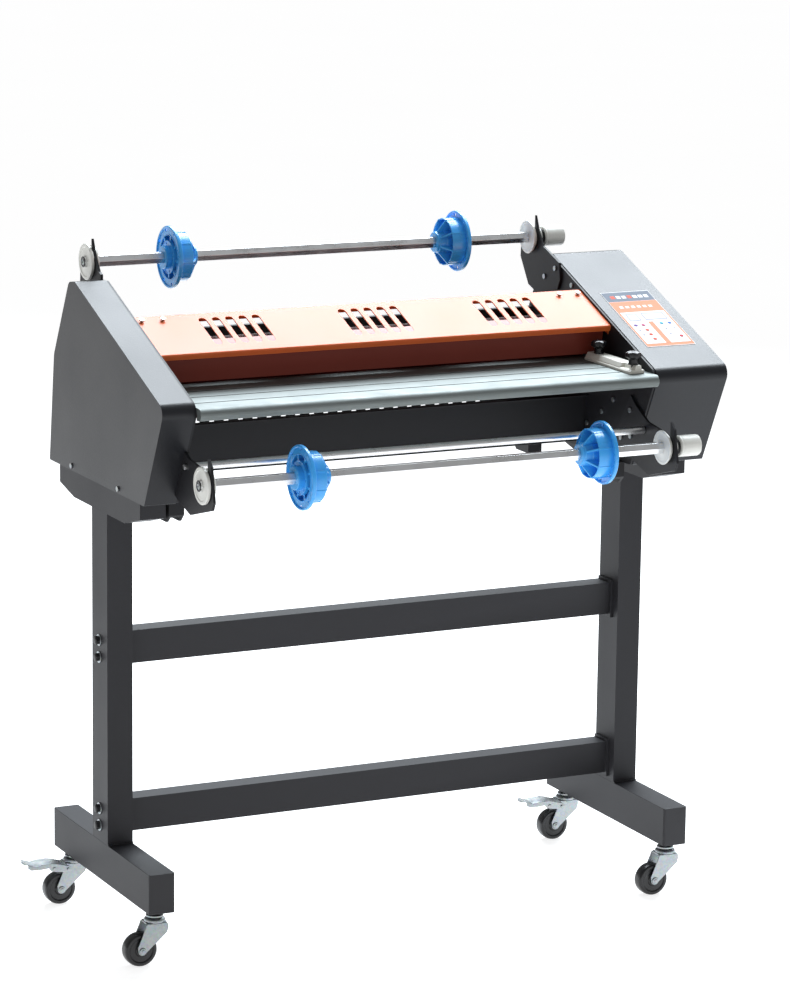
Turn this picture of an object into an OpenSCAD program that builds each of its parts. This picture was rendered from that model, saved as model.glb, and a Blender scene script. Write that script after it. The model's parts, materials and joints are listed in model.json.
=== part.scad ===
// Roll laminator on a wheeled steel stand, millimetres, +X right, +Y back, +Z up.
// The origin is on the floor, under the centre of the machine's bounding box.

/* [Stand] */
// width over the outer faces of the two feet
stand_w = 898; // [860:1:898]
// front to back length of each foot tube
foot_len = 380; // [360:1:380]
// width of the steel tube of feet, posts and top beams
tube_w = 40; // [38:1:42]
// height of the foot tube, and depth of the post tube
tube_h = 60; // [56:1:60]
// wall of the stand's tubes
tube_wall = 2; // [1.5:0.5:3]
// height of the foot tube's underside above the floor
foot_z = 84; // [84:1:84]
// height of the machine's underside above the floor
deck_z = 690; // [680:1:700]
// height of the top beam
beam_h = 42; // [38:1:46]
// height of the lower stretcher's top
stretch_lo_z = 206; // [190:1:240]
// height of the upper stretcher's top
stretch_hi_z = 464; // [430:1:500]
// height of a stretcher tube
stretch_h = 50; // [44:1:56]
// depth of a stretcher tube
stretch_d = 35; // [30:1:36]

/* [Casters] */
// wheel radius
wheel_r = 25; // [25:1:25]
// wheel width
wheel_w = 20; // [18:1:22]
// distance the wheel trails behind its swivel stem
trail = 24; // [22:1:25]

/* [Body] */
// clear width between the two frame plates
web_span = 739; // [700:1:745]
// thickness of the frame plates and of the spool brackets
plate_t = 4; // [4:1:4]
// width of the left side cover
cover_l_w = 49; // [47:1:52]
// width of the right side cover
cover_r_w = 121; // [112:1:124]
// wall of the side covers
cover_wall = 2; // [1.5:0.5:2.5]

/* [Feeding] */
// height of the feed table's top above the deck
table_up = 150; // [149:0.5:150]
// thickness of the feed table
table_t = 18; // [14:1:18]
// radius of the two nip rollers
roller_r = 29.75; // [29:0.05:29.75]
// teeth on each of the two roller gears
gear_teeth = 24; // [24:1:24]
// distance the side guide stands from the right frame plate
guide_gap = 12; // [10:1:60]

/* [Unwinds] */
// width across the flats of the two unwind shafts
hex_af = 16; // [14:0.5:17]
// outside radius of the core hubs' barrels
core_r = 37.5; // [37:0.1:38]
// radius of the core hubs' flanges
hub_flange_r = 47; // [44:0.5:47]
// distance of the upper left hub's flange from the middle of the web
hub_ul = 247; // [200:1:260]
// distance of the upper right hub's flange from the middle of the web
hub_ur = 235; // [200:1:250]
// distance of the lower left hub's flange from the middle of the web
hub_ll = 228; // [200:1:250]
// distance of the lower right hub's flange from the middle of the web
hub_lr = 258; // [200:1:262]
// radius of the spool discs
disc_r = 27; // [24:0.5:28]

/* [Hidden] */
// the machine is centred on the origin by these two shifts
shift_x = 21.9;
shift_y = 75;
half_w = stand_w / 2;
foot_half = foot_len / 2;
foot_top = foot_z + tube_h;
post_top = deck_z - beam_h;
web_mid = -31.5;
xl = web_mid - web_span / 2;
xr = web_mid + web_span / 2;
xlo = xl - plate_t;
xro = xr + plate_t;
cov_l = xlo - cover_l_w;
cov_r = xro + cover_r_w;
z_dk = deck_z;
table_z = z_dk + table_up;
nip_y = -30;
nip_z = table_z + 1;
axis_d = 60;
up_z = nip_z + axis_d / 2;
lo_z = nip_z - axis_d / 2;
sh_up = [142, z_dk + 304.5];
sh_lo = [-296, z_dk + 48];
idl = [-230, z_dk + 62.5];
pan_z = z_dk + 14;
stem_y = foot_half - 27;
stem_x = half_w - tube_w / 2;
slope_a = atan(134 / 340);
vent_a = atan(42.2 / 106);
vent_len = 112;
neck_r = 12;
lever_px = -14;
lever_pz = 57;
drive_teeth = 36;
pinion_teeth = 15;
motor_cd = (drive_teeth + pinion_teeth);
mot_y = nip_y + motor_cd * cos(45);
mot_z = lo_z - motor_cd * sin(45);

// colours by material
c_steel = [0.17, 0.17, 0.18];
c_cover = [0.23, 0.23, 0.25];
c_zinc = [0.72, 0.73, 0.74];
c_chrome = [0.86, 0.87, 0.88];
c_orange = [0.88, 0.38, 0.16];
c_blue = [0.08, 0.34, 0.66];
c_black = [0.05, 0.05, 0.05];
c_alu = [0.62, 0.66, 0.65];
c_white = [0.86, 0.86, 0.83];
c_red = [0.42, 0.12, 0.09];

/* geometry helpers */
module machine() translate([shift_x, shift_y, 0]) children();
// extrudes a (Y, Z) outline along +X from x0
module yz(x0, t) translate([x0, 0, 0]) rotate([90, 0, 90]) linear_extrude(height = t) children();
// extrudes an (X, Z) outline along +Y from y0
module xz(y0, t) translate([0, y0 + t, 0]) rotate([90, 0, 0]) linear_extrude(height = t) children();
// a round bar along +X
module rod_x(x0, x1, p, r) translate([x0, p[0], p[1]]) rotate([0, 90, 0]) cylinder(h = x1 - x0, r = r, $fn = 64);
module rod_y(y0, y1, x, z, r) translate([x, y0, z]) rotate([-90, 0, 0]) cylinder(h = y1 - y0, r = r, $fn = 64);
module box(a, b) translate(a) cube(b - a);
module cover_slope() translate([0, -258, z_dk + 151]) rotate([slope_a, 0, 0]) children();
module vent_slope() translate([0, -120.5, z_dk + 202.3]) rotate([vent_a, 0, 0]) children();

// closed outline moved inwards by d, and its corners rounded
function unit(v) = v / norm(v);
function nxt(p, i) = p[(i + 1) % len(p)];
function prv(p, i) = p[(i + len(p) - 1) % len(p)];
function nrm(a, b) = let (u = unit(b - a)) [-u[1], u[0]];
function corner_in(p, i, d) =
  let (n1 = nrm(prv(p, i), p[i]), n2 = nrm(p[i], nxt(p, i)))
  p[i] + d * (n1 + n2) / (1 + n1 * n2);
function inset(p, d) = [for (i = [0 : len(p) - 1]) corner_in(p, i, d)];
function arc_pt(a, b, c, r, k, n) =
  let (u = unit(a - b), v = unit(c - b))
  let (half = acos(u * v) / 2, t = r / tan(half))
  let (s = b + u * t, e = b + v * t, o = b + unit(u + v) * r / sin(half))
  let (m = (s - o) * (1 - k / n) + (e - o) * (k / n))
  o + unit(m) * r;
function rounded(p, rr, n = 6) = [for (i = [0 : len(p) - 1]) each
  (rr[i] <= 0 ? [p[i]] : [for (k = [0 : n]) arc_pt(prv(p, i), p[i], nxt(p, i), rr[i], k, n)])];

side_pts = [
  [-184.5, z_dk],
  [189, z_dk],
  [169, z_dk + 164],
  [107, z_dk + 282],
  [82, z_dk + 285],
  [-258, z_dk + 151]
];
function side(d) = rounded(inset(side_pts, d), [2.5, 2.5, 24, 14, 12, 17], 6);

up_bracket = [
  [130, z_dk + 341],
  [120, z_dk + 318],
  [102, z_dk + 295],
  [79, z_dk + 287],
  [48, z_dk + 276],
  [44, z_dk + 250],
  [52, z_dk + 234],
  [124, z_dk + 221],
  [148, z_dk + 229],
  [176, z_dk + 270],
  [174, z_dk + 296],
  [166, z_dk + 313],
  [154, z_dk + 316]
];
lo_bracket = [
  [-309, z_dk + 88],
  [-319, z_dk + 78],
  [-329, z_dk + 29],
  [-323, z_dk + 17],
  [-246, z_dk - 4],
  [-199, z_dk + 10],
  [-151, z_dk + 30],
  [-146, z_dk + 48],
  [-186, z_dk + 108],
  [-204, z_dk + 94],
  [-240, z_dk + 76],
  [-284, z_dk + 70]
];
up_screws = [[59.5, z_dk + 266], [93.5, z_dk + 249]];
lo_screws = [[-187, z_dk + 85], [-161, z_dk + 39], [-190, z_dk + 46]];
plate_screws = [[12, z_dk + 246], [-195, z_dk + 166], [-128, z_dk + 91], [-93, z_dk + 67], [-47, z_dk + 41]];

/* stand */
module foot_tube(s) {
  difference() {
    box([s * stem_x - tube_w / 2, -foot_half, foot_z], [s * stem_x + tube_w / 2, foot_half, foot_top]);
    box([s * stem_x - tube_w / 2 + tube_wall, -foot_half - 1, foot_z + tube_wall],
      [s * stem_x + tube_w / 2 - tube_wall, foot_half + 1, foot_top - tube_wall]);
    for (y = [-stem_y, stem_y]) translate([s * stem_x, y, foot_z - 1]) cylinder(h = 4, r = 5.2, $fn = 48);
  }
}
module left_foot() color(c_steel) machine() foot_tube(-1);
module right_foot() color(c_steel) machine() foot_tube(1);

module foot_caps() color(c_black) machine() {
  for (s = [-1, 1]) for (e = [-1, 1]) {
    hw = tube_w / 2;
    y0 = e > 0 ? foot_half : -foot_half - 3;
    difference() {
      box([s * stem_x - hw, y0, foot_z], [s * stem_x + hw, y0 + 3, foot_top]);
      for (k = [-1, 1]) translate([s * stem_x + k * hw, e * (foot_half + 3), foot_z + tube_h / 2])
        rotate([0, 0, 45]) cube([3, 3, tube_h + 2], center = true);
    }
    yi = e > 0 ? foot_half - 10 : -foot_half;
    box([s * stem_x - hw + tube_wall, yi, foot_z + tube_wall],
      [s * stem_x + hw - tube_wall, yi + 10, foot_top - tube_wall]);
  }
}

module post_tube(s) {
  difference() {
    box([s * stem_x - tube_w / 2, -tube_h / 2, foot_top], [s * stem_x + tube_w / 2, tube_h / 2, post_top]);
    box([s * stem_x - tube_w / 2 + tube_wall, -tube_h / 2 + tube_wall, foot_top - 1],
      [s * stem_x + tube_w / 2 - tube_wall, tube_h / 2 - tube_wall, post_top + 1]);
    for (z = bolt_z) rod_x(s * stem_x - tube_w / 2 - 1, s * stem_x + tube_w / 2 + 1, [bolt_y, z], 4.2);
  }
}
bolt_y = 2;
bolt_z = [stretch_lo_z - 12, stretch_lo_z - stretch_h + 12, stretch_hi_z - 12, stretch_hi_z - stretch_h + 12];
module left_post() color(c_steel) machine() post_tube(-1);
module right_post() color(c_steel) machine() post_tube(1);

module stretcher(zt) {
  xi = half_w - tube_w;
  y0 = -8;
  difference() {
    box([-xi + 4, y0, zt - stretch_h], [xi - 4, y0 + stretch_d, zt]);
    box([-xi + 3, y0 + tube_wall, zt - stretch_h + tube_wall], [xi - 3, y0 + stretch_d - tube_wall, zt - tube_wall]);
  }
  for (s = [-1, 1]) difference() {
    box([min(s * (xi - 4), s * xi), y0 - 6, zt - stretch_h - 5], [max(s * (xi - 4), s * xi), y0 + stretch_d, zt + 5]);
    for (z = bolt_z) rod_x(min(s * xi, s * (xi - 4)) - 1, max(s * xi, s * (xi - 4)) + 1, [bolt_y, z], 4.2);
  }
}
module lower_stretcher() color(c_steel) machine() stretcher(stretch_lo_z);
module upper_stretcher() color(c_steel) machine() stretcher(stretch_hi_z);

module stretcher_bolts() color(c_black) machine() {
  for (s = [-1, 1]) for (z = bolt_z) {
    x1 = s * half_w;
    rod_x(min(x1, x1 + s * 1.5), max(x1, x1 + s * 1.5), [bolt_y, z], 9);
    rod_x(min(x1 + s * 1.5, x1 + s * 8), max(x1 + s * 1.5, x1 + s * 8), [bolt_y, z], 6.5);
    rod_x(min(x1, x1 - s * (tube_w + 12)), max(x1, x1 - s * (tube_w + 12)), [bolt_y, z], 4);
    translate([x1 - s * (tube_w + 7.5), bolt_y, z]) rotate([0, 90, 0]) cylinder(h = 7, r = 7.5, center = true, $fn = 6);
  }
}

module top_beam(s) {
  pts = [[-157, deck_z], [-157, deck_z - beam_h + 16], [-98, deck_z - beam_h], [102, deck_z - beam_h],
    [160, deck_z - beam_h + 13], [160, deck_z]];
  difference() {
    yz(s * stem_x - tube_w / 2, tube_w) polygon(pts);
    yz(s * stem_x - tube_w / 2 + tube_wall, tube_w - 2 * tube_wall) polygon(inset([for (i = [5 : -1 : 0]) pts[i]], -2));
    for (y = [-120, 120]) translate([s * stem_x, y, deck_z - 3]) cylinder(h = 4, r = 4.3, $fn = 48);
  }
}
module left_top_beam() color(c_steel) machine() top_beam(-1);
module right_top_beam() color(c_steel) machine() top_beam(1);

/* casters */
module caster_stems() color(c_zinc) machine() {
  for (s = [-1, 1]) for (y = [-stem_y, stem_y]) translate([s * stem_x, y, 0]) {
    translate([0, 0, 73]) cylinder(h = 21, r = 5, $fn = 48);
    translate([0, 0, 76]) cylinder(h = 8, r = 8.5, $fn = 6);
    translate([0, 0, foot_z + 2]) cylinder(h = 6, r = 8.5, $fn = 6);
    translate([0, 0, 73]) cylinder(h = 3, r = 13, $fn = 64);
    translate([0, 0, 62.8]) cylinder(h = 10.2, r = 4, $fn = 48);
    translate([0, 0, 60.8]) cylinder(h = 2, r = 6.5, $fn = 48);
  }
}

module fork_cheek() {
  pts = [[-trail - 7, wheel_r - 3], [-trail - 4, wheel_r - 7], [-trail + 4, wheel_r - 7], [-trail + 8, wheel_r - 2],
    [14, 50], [17, 60], [17, 66], [-17, 66], [-19, 58]];
  difference() {
    polygon(pts);
    translate([-trail, wheel_r]) circle(r = 4.05, $fn = 48);
  }
}
module fork_at(x, y, braked = false) translate([x, y, 0]) {
  in = wheel_w / 2 + 1.5;
  if (braked) for (s = [-1, 1]) rod_y(s * (in + 3.4) - 2.4, s * (in + 3.4) + 2.4, lever_px, lever_pz, 2.5);
  for (y0 = [-in - 2, in]) xz(y0, 2) fork_cheek();
  difference() {
    box([-17, -in - 2, 64], [17, in + 2, 66]);
    translate([0, 0, 60]) cylinder(h = 10, r = 8.5, $fn = 64);
  }
  difference() {
    translate([0, 0, 66]) cylinder(h = 6.6, r = 15, $fn = 64);
    translate([0, 0, 65]) cylinder(h = 9, r = 4.35, $fn = 64);
    translate([0, 0, 65]) cylinder(h = 1.2, r = 8.5, $fn = 64);
  }
  rod_y(-in - 4.5, in + 4.5, -trail, wheel_r, 4);
  for (y0 = [-in - 4.5, in + 2]) rod_y(y0, y0 + 2.5, -trail, wheel_r, 6.5);
}
module wheel_at(x, y) translate([x - trail, y, wheel_r]) rotate([90, 0, 0]) {
  rotate_extrude($fn = 96) polygon([[4.1, -wheel_w / 2 - 0.8], [9, -wheel_w / 2 - 0.8], [10, -wheel_w / 2 + 1.5],
    [19, -wheel_w / 2 + 1.5], [20.5, -wheel_w / 2], [wheel_r - 2.5, -wheel_w / 2], [wheel_r - 0.5, -wheel_w / 2 + 2],
    [wheel_r, -wheel_w / 2 + 5], [wheel_r, wheel_w / 2 - 5], [wheel_r - 0.5, wheel_w / 2 - 2],
    [wheel_r - 2.5, wheel_w / 2], [20.5, wheel_w / 2], [19, wheel_w / 2 - 1.5], [10, wheel_w / 2 - 1.5],
    [9, wheel_w / 2 + 0.8], [4.1, wheel_w / 2 + 0.8]]);
}
module front_left_fork() color(c_zinc) machine() fork_at(-stem_x, -stem_y);
module front_right_fork() color(c_zinc) machine() fork_at(stem_x, -stem_y);
module rear_left_fork() color(c_zinc) machine() fork_at(-stem_x, stem_y, true);
module rear_right_fork() color(c_zinc) machine() fork_at(stem_x, stem_y, true);
module front_left_wheel() color(c_black) machine() wheel_at(-stem_x, -stem_y);
module front_right_wheel() color(c_black) machine() wheel_at(stem_x, -stem_y);
module rear_left_wheel() color(c_black) machine() wheel_at(-stem_x, stem_y);
module rear_right_wheel() color(c_black) machine() wheel_at(stem_x, stem_y);

// brake pedal: two ears beside the fork, a bent tread plate pointing to -X
module brake_at(x, y) translate([x, y, 0]) {
  in = wheel_w / 2 + 1.5 + 2.4;
  for (y0 = [-in - 2, in]) difference() {
    xz(y0, 2) polygon([[-10, 52], [-8, 58], [-13, 62.5], [-40, 70], [-46, 66], [-20, 53]]);
    rod_y(y0 - 1, y0 + 3, lever_px, lever_pz, 2.55);
  }
  xz(-in - 2, 2 * in + 4) polygon([[-27, 66.4], [-40, 70], [-54, 68], [-68, 64], [-78, 75], [-80, 73.5], [-69, 61.5],
    [-54, 65.8], [-40, 67.8], [-27, 64.2]]);
}
module rear_left_brake() color(c_zinc) machine() brake_at(-stem_x, stem_y);
module rear_right_brake() color(c_zinc) machine() brake_at(stem_x, stem_y);

/* body structure */
module frame_plate(x0, s, flange_w) {
  xo = s > 0 ? x0 + plate_t : x0;
  difference() {
    union() {
      yz(x0, plate_t) polygon(side(1));
      box([x0, -180, deck_z], [x0 + plate_t, 184, deck_z + 4]);
    }
    rod_x(x0 - 1, x0 + plate_t + 1, [nip_y, up_z], 14);
    rod_x(x0 - 1, x0 + plate_t + 1, [nip_y, lo_z], 14);
    for (p = concat(up_screws, lo_screws)) rod_x(x0 - 1, x0 + plate_t + 1, p, 2.2);
    if (s > 0) for (q = [[1, 1], [1, -1], [-1, -1]])
      rod_x(x0 - 1, x0 + plate_t + 1, [mot_y + 30 * q[0], mot_z + 30 * q[1]], 2.7);
  }
  // foot flange under the cover, and its upturned lip
  fx0 = s > 0 ? xo : xo - flange_w;
  difference() {
    box([fx0, -180, deck_z], [fx0 + flange_w, 184, deck_z + 2]);
    for (y = [-120, 120]) translate([s * stem_x, y, deck_z - 1]) cylinder(h = 4, r = 4.3, $fn = 48);
  }
  lx = s > 0 ? fx0 + flange_w - 2 : fx0;
  difference() {
    box([lx, -174, deck_z + 2], [lx + 2, 178, deck_z + 14]);
    for (y = [-86, 98]) rod_x(lx - 1, lx + 3, [y, deck_z + 7], 2.2);
  }
  // mounting feet that hang beside the stand's top beams
  for (y = [-159, 107]) {
    fx = s > 0 ? xr : xl - plate_t;
    difference() {
      box([fx + (s > 0 ? -20 : 0), y, deck_z - 34], [fx + (s > 0 ? plate_t : plate_t + 20), y + 52, deck_z]);
      box([fx + (s > 0 ? -16 : plate_t), y + 4, deck_z - 35], [fx + (s > 0 ? 0 : plate_t + 16), y + 48, deck_z - 4]);
      translate([0, y < 0 ? y : y + 52, deck_z - 34]) rotate([45, 0, 0]) cube([2 * stand_w, 16, 16], center = true);
    }
  }
}
module left_frame_plate() color(c_steel) machine() frame_plate(xlo, -1, cover_l_w - cover_wall);
module right_frame_plate() color(c_steel) machine() frame_plate(xr, 1, cover_r_w - cover_wall);

module deck_bolts_at(s) for (y = [-120, 120]) translate([s * stem_x, y, 0]) {
  translate([0, 0, deck_z + 2]) cylinder(h = 5, r = 7, $fn = 6);
  translate([0, 0, deck_z - 10]) cylinder(h = 12.5, r = 4, $fn = 48);
  translate([0, 0, deck_z - 8.5]) cylinder(h = 6, r = 7, $fn = 6);
}

// floor of the body, with a rear wall that leaves a slot for the finished print
module belly_pan() color(c_steel) machine() {
  difference() {
    union() {
      box([xl, -48, pan_z], [xr, 165, pan_z + 1.6]);
      yz(xl, web_span) polygon([[163.4, pan_z], [165, pan_z], [165, z_dk + 162], [148, z_dk + 195], [138, z_dk + 195],
        [138, z_dk + 193.4], [147, z_dk + 193.4], [163.4, z_dk + 161.6]]);
    }
    box([xl + 24, 150, z_dk + 134], [xr - 24, 170, z_dk + 168]);
    for (k = [-12 : 12]) box([web_mid + k * 24 - 4, 60, pan_z - 1], [web_mid + k * 24 + 4, 120, pan_z + 3]);
    for (k = [-12 : 12]) box([web_mid + k * 24 - 4, 160, pan_z + 30], [web_mid + k * 24 + 4, 170, pan_z + 70]);
  }
}

// wall below the lower roller
module lower_panel() color(c_steel) machine() {
  box([xl, -38, pan_z + 1.6], [xr, -36.4, z_dk + 85]);
  box([xl, -50, z_dk + 83.4], [xr, -38, z_dk + 85]);
}

module cover_shell(x0, w, s) {
  difference() {
    yz(x0, w) polygon(side(0));
    yz(s > 0 ? x0 - 1 : x0 + cover_wall, w - cover_wall + 1) polygon(side(cover_wall));
    box([s > 0 ? x0 - 1 : x0 + cover_wall, -181, deck_z - 1], [s > 0 ? x0 + w - cover_wall : x0 + w + 1, 185, deck_z + 5]);
    for (y = [-86, 98]) rod_x(s > 0 ? x0 + w - 3 : x0 - 1, s > 0 ? x0 + w + 1 : x0 + 3, [y, deck_z + 7], 2.2);
  }
}
module left_cover() color(c_cover) machine() difference() {
  cover_shell(cov_l, cover_l_w, -1);
  // notches for the two spool brackets
  yz(xlo - plate_t - 0.1, plate_t + 1.1) polygon(inset(lo_bracket, -0.1));
  yz(xlo - plate_t - 0.1, plate_t + 1.1) intersection() {
    polygon(inset(up_bracket, -0.1));
    translate([92.9, z_dk + 200]) square(200);
  }
}
// the rear wall of the cover leans by this angle
back_a = atan(20 / 164);
module back_wall(x, z) translate([x, 189 - (z - deck_z) * tan(back_a), z]) rotate([back_a, 0, 0]) children();
inlet_x = xro + 46;
inlet_z = deck_z + 34;
module right_cover() color(c_cover) machine() difference() {
  cover_shell(xro, cover_r_w, 1);
  back_wall(inlet_x, inlet_z) box([-14.3, -6, -10.3], [14.3, 3, 10.3]);
  back_wall(inlet_x + 42, inlet_z) box([-6.8, -6, -10.3], [6.8, 3, 10.3]);
}

module screw_x(p, x, s, shank) {
  rod_x(min(x, x + s * 2.2), max(x, x + s * 2.2), p, 4);
  rod_x(min(x, x - s * shank), max(x, x - s * shank), p, 2);
}
module panel_screws() color(c_zinc) machine() {
  deck_bolts_at(-1);
  deck_bolts_at(1);
  for (y = [-86, 98]) {
    screw_x([y, deck_z + 7], cov_l, -1, 5);
    screw_x([y, deck_z + 7], cov_r, 1, 5);
  }
  for (p = concat(up_screws, lo_screws)) {
    screw_x(p, xr - plate_t, -1, plate_t * 2 + 1);
    screw_x(p, xlo - plate_t, -1, plate_t * 2 - 0.5);
  }
  for (p = plate_screws) {
    rod_x(xr - 2.2, xr, p, 4);
    rod_x(xl, xl + 2.2, p, 4);
  }
  vent_slope() for (x = [xl + 9, xl + 42, xr - 42, xr - 10]) translate([x, 102, -2.5]) {
    cylinder(h = 2.5, r = 2, $fn = 32);
    translate([0, 0, 2.5]) cylinder(h = 2, r = 4, $fn = 48);
  }
}

/* feed table and side guide */
groove_y = [-128, -172, -216];
module feed_table() color(c_alu) machine() difference() {
  union() {
    box([xl, -257, table_z - table_t], [xr, -66, table_z]);
    rod_x(xl, xr, [-257, table_z - table_t / 2], table_t / 2);
  }
  box([xl - 1, -250, table_z - table_t - 1], [xr + 1, -74, table_z - 9]);
  for (y = groove_y) box([xl - 1, y - 1.5, table_z - 3], [xr + 1, y + 1.5, table_z + 1]);
  for (y = groove_y) box([xl - 1, y - 3.5, table_z - 6], [xr + 1, y + 3.5, table_z - 3]);
}

gx1 = xr - guide_gap;
gx0 = gx1 - 25;
gxm = gx1 - 13;
knob_y = [-123, -229];
guide_h = 12.6;
module side_guide() color(c_white) machine() difference() {
  union() {
    box([gx0, -241, table_z + 0.4], [gx1, -100, table_z + 6]);
    box([gx0 + 9, -241, table_z + 6], [gx1 - 5, -207, table_z + guide_h]);
    box([gx0, -207, table_z + 6], [gx1, -100, table_z + guide_h]);
  }
  for (y = knob_y) translate([gxm, y, table_z - 1]) cylinder(h = 22, r = 3.05, $fn = 48);
}
module guide_knob(y) translate([gxm, y, table_z]) {
  difference() {
    translate([0, 0, guide_h + 8]) cylinder(h = 11, r = 12.2, $fn = 64);
    for (a = [0 : 60 : 300]) rotate([0, 0, a]) translate([15.2, 0, guide_h + 7]) cylinder(h = 14, r = 5, $fn = 32);
  }
  translate([0, 0, guide_h + 0.4]) cylinder(h = 8, r = 8, $fn = 48);
  translate([0, 0, guide_h + 19]) cylinder(h = 1.4, r = 7, $fn = 48);
  translate([0, 0, 1]) cylinder(h = guide_h, r = 3, $fn = 48);
}
module rear_guide_knob() color(c_black) machine() guide_knob(knob_y[0]);
module front_guide_knob() color(c_black) machine() guide_knob(knob_y[1]);

/* orange cover */
slot_n = 5;
slot_pitch = 21.2;
group_pitch = 224.5;
module vent_slot(x) {
  translate([x, 28, -6]) cylinder(h = 12, r = 6, $fn = 48);
  translate([x, 91, -6]) cylinder(h = 12, r = 6, $fn = 48);
  box([x - 6, 28, -6], [x + 6, 91, 6]);
}
module vent_cover() color(c_orange) machine() vent_slope() difference() {
  union() {
    box([xl, 2, -2], [xr, vent_len, 0]);
    box([xl, 0, -9], [xr, 2, 0]);
    box([xl, vent_len - 2, -14], [xr, vent_len, 0]);
    for (x = [xl, xr - 2]) box([x, 2, -16], [x + 2, vent_len - 2, -2]);
  }
  for (g = [-1, 0, 1]) for (k = [0 : slot_n - 1]) vent_slot(web_mid + g * group_pitch + (k - 2) * slot_pitch);
  for (x = [xl + 9, xl + 42, xr - 42, xr - 10]) translate([x, 102, -4]) cylinder(h = 6, r = 2.2, $fn = 32);
}
module roller_guard() color(c_orange) machine() {
  pts = [[-90, 7], [-88, 7], [-88.6, 20], [-96.7, 57.2], [-79.2, 64.2], [-80, 66.1], [-99, 58.5], [-90.6, 20]];
  yz(xl + 2.4, web_span - 4.8) translate([0, table_z]) polygon(pts);
}

/* nip rollers and drive */
module roller(z, xa, xb) {
  rod_x(xl + 8, xr - 8, [nip_y, z], roller_r);
  rod_x(xa, xb, [nip_y, z], 9.94);
}
module upper_roller() color(c_red) machine() roller(up_z, xlo - 30, xro + 6);
module lower_roller() color(c_red) machine() roller(lo_z, xlo - 30, xro + 20);
module roller_bearings() color(c_zinc) machine() {
  for (z = [up_z, lo_z]) for (s = [-1, 1]) {
    x0 = s > 0 ? xr : xlo;
    difference() {
      union() {
        rod_x(x0, x0 + plate_t, [nip_y, z], 14);
        rod_x(s > 0 ? x0 + plate_t : x0 - 3, s > 0 ? x0 + plate_t + 3 : x0, [nip_y, z], 19);
      }
      rod_x(x0 - 9, x0 + 12, [nip_y, z], 10);
    }
  }
}
// spur gear along +X with straight-sided teeth and generous backlash
function tooth(r0, r1, n, i, w0, w1) = [for (q = [[r0, -w0], [r1, -w1], [r1, w1], [r0, w0]])
  let (a = (i + q[1]) * 360 / n) [q[0] * cos(a), q[0] * sin(a)]];
module gear_x(x0, t, p, m, n, bore, turn) translate([x0, p[0], p[1]]) rotate([90, 0, 90]) rotate([0, 0, turn])
  linear_extrude(height = t) difference() {
    polygon([for (i = [0 : n - 1]) each tooth(m * n / 2 - m * 1.2, m * n / 2 + m * 0.8, n, i, 0.3, 0.11)]);
    circle(r = bore, $fn = 64);
  }
module lower_gear() color(c_zinc) machine() gear_x(xlo - 22, 12, [nip_y, lo_z], axis_d / gear_teeth, gear_teeth, 10, 0);
module upper_gear() color(c_zinc) machine()
  gear_x(xlo - 22, 12, [nip_y, up_z], axis_d / gear_teeth, gear_teeth, 10, 180 / gear_teeth);
module drive_gear() color(c_zinc) machine() gear_x(xro + 7, 10, [nip_y, lo_z], 2, drive_teeth, 10, -45);
module motor_pinion() color(c_zinc) machine()
  gear_x(xro + 7, 10, [mot_y, mot_z], 2, pinion_teeth, 6.05, 135 + 180 / pinion_teeth);
module gear_motor() color(c_black) machine() {
  gx = xro + 22;
  difference() {
    box([gx, mot_y - 40, mot_z - 40], [gx + 40, mot_y + 40, mot_z + 40]);
    for (q = [[1, 1], [1, -1], [-1, -1]]) rod_x(gx - 1, gx + 3, [mot_y + 30 * q[0], mot_z + 30 * q[1]], 2.7);
  }
  rod_x(gx + 40, gx + 92, [mot_y, mot_z], 38);
  rod_x(xro + 6, gx, [mot_y, mot_z], 6);
  for (q = [[1, 1], [1, -1], [-1, -1]]) rod_x(xro, gx, [mot_y + 30 * q[0], mot_z + 30 * q[1]], 6);
}

/* spool brackets */
module bracket_up(x0) difference() {
  yz(x0, plate_t) polygon([for (i = [len(up_bracket) - 1 : -1 : 0]) up_bracket[i]]);
  rod_x(x0 - 1, x0 + plate_t + 1, sh_up, neck_r + 0.3);
  box([x0 - 1, sh_up[0] - neck_r - 0.3, sh_up[1]], [x0 + plate_t + 1, sh_up[0] + neck_r + 0.3, deck_z + 360]);
  for (p = up_screws) rod_x(x0 - 1, x0 + plate_t + 1, p, 2.2);
}
module bracket_lo(x0) difference() {
  yz(x0, plate_t) polygon([for (i = [len(lo_bracket) - 1 : -1 : 0]) lo_bracket[i]]);
  rod_x(x0 - 1, x0 + plate_t + 1, sh_lo, neck_r + 0.3);
  box([x0 - 1, sh_lo[0] - neck_r - 0.3, sh_lo[1]], [x0 + plate_t + 1, sh_lo[0] + neck_r + 0.3, deck_z + 120]);
  rod_x(x0 - 1, x0 + plate_t + 1, idl, 4.05);
  for (p = lo_screws) rod_x(x0 - 1, x0 + plate_t + 1, p, 2.2);
}
bl_x = xlo - plate_t;
br_x = xr - plate_t;
module left_upper_bracket() color(c_steel) machine() difference() {
  bracket_up(bl_x);
  // kept below the sloped top of the cover
  yz(bl_x - 1, plate_t + 2) polygon([[20, z_dk + 257.8], [82, z_dk + 282.2], [93, z_dk + 280.9], [93, z_dk + 300],
    [20, z_dk + 300]]);
}
module right_upper_bracket() color(c_steel) machine() bracket_up(br_x);
module left_lower_bracket() color(c_steel) machine() bracket_lo(bl_x);
module right_lower_bracket() color(c_steel) machine() bracket_lo(br_x);

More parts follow.
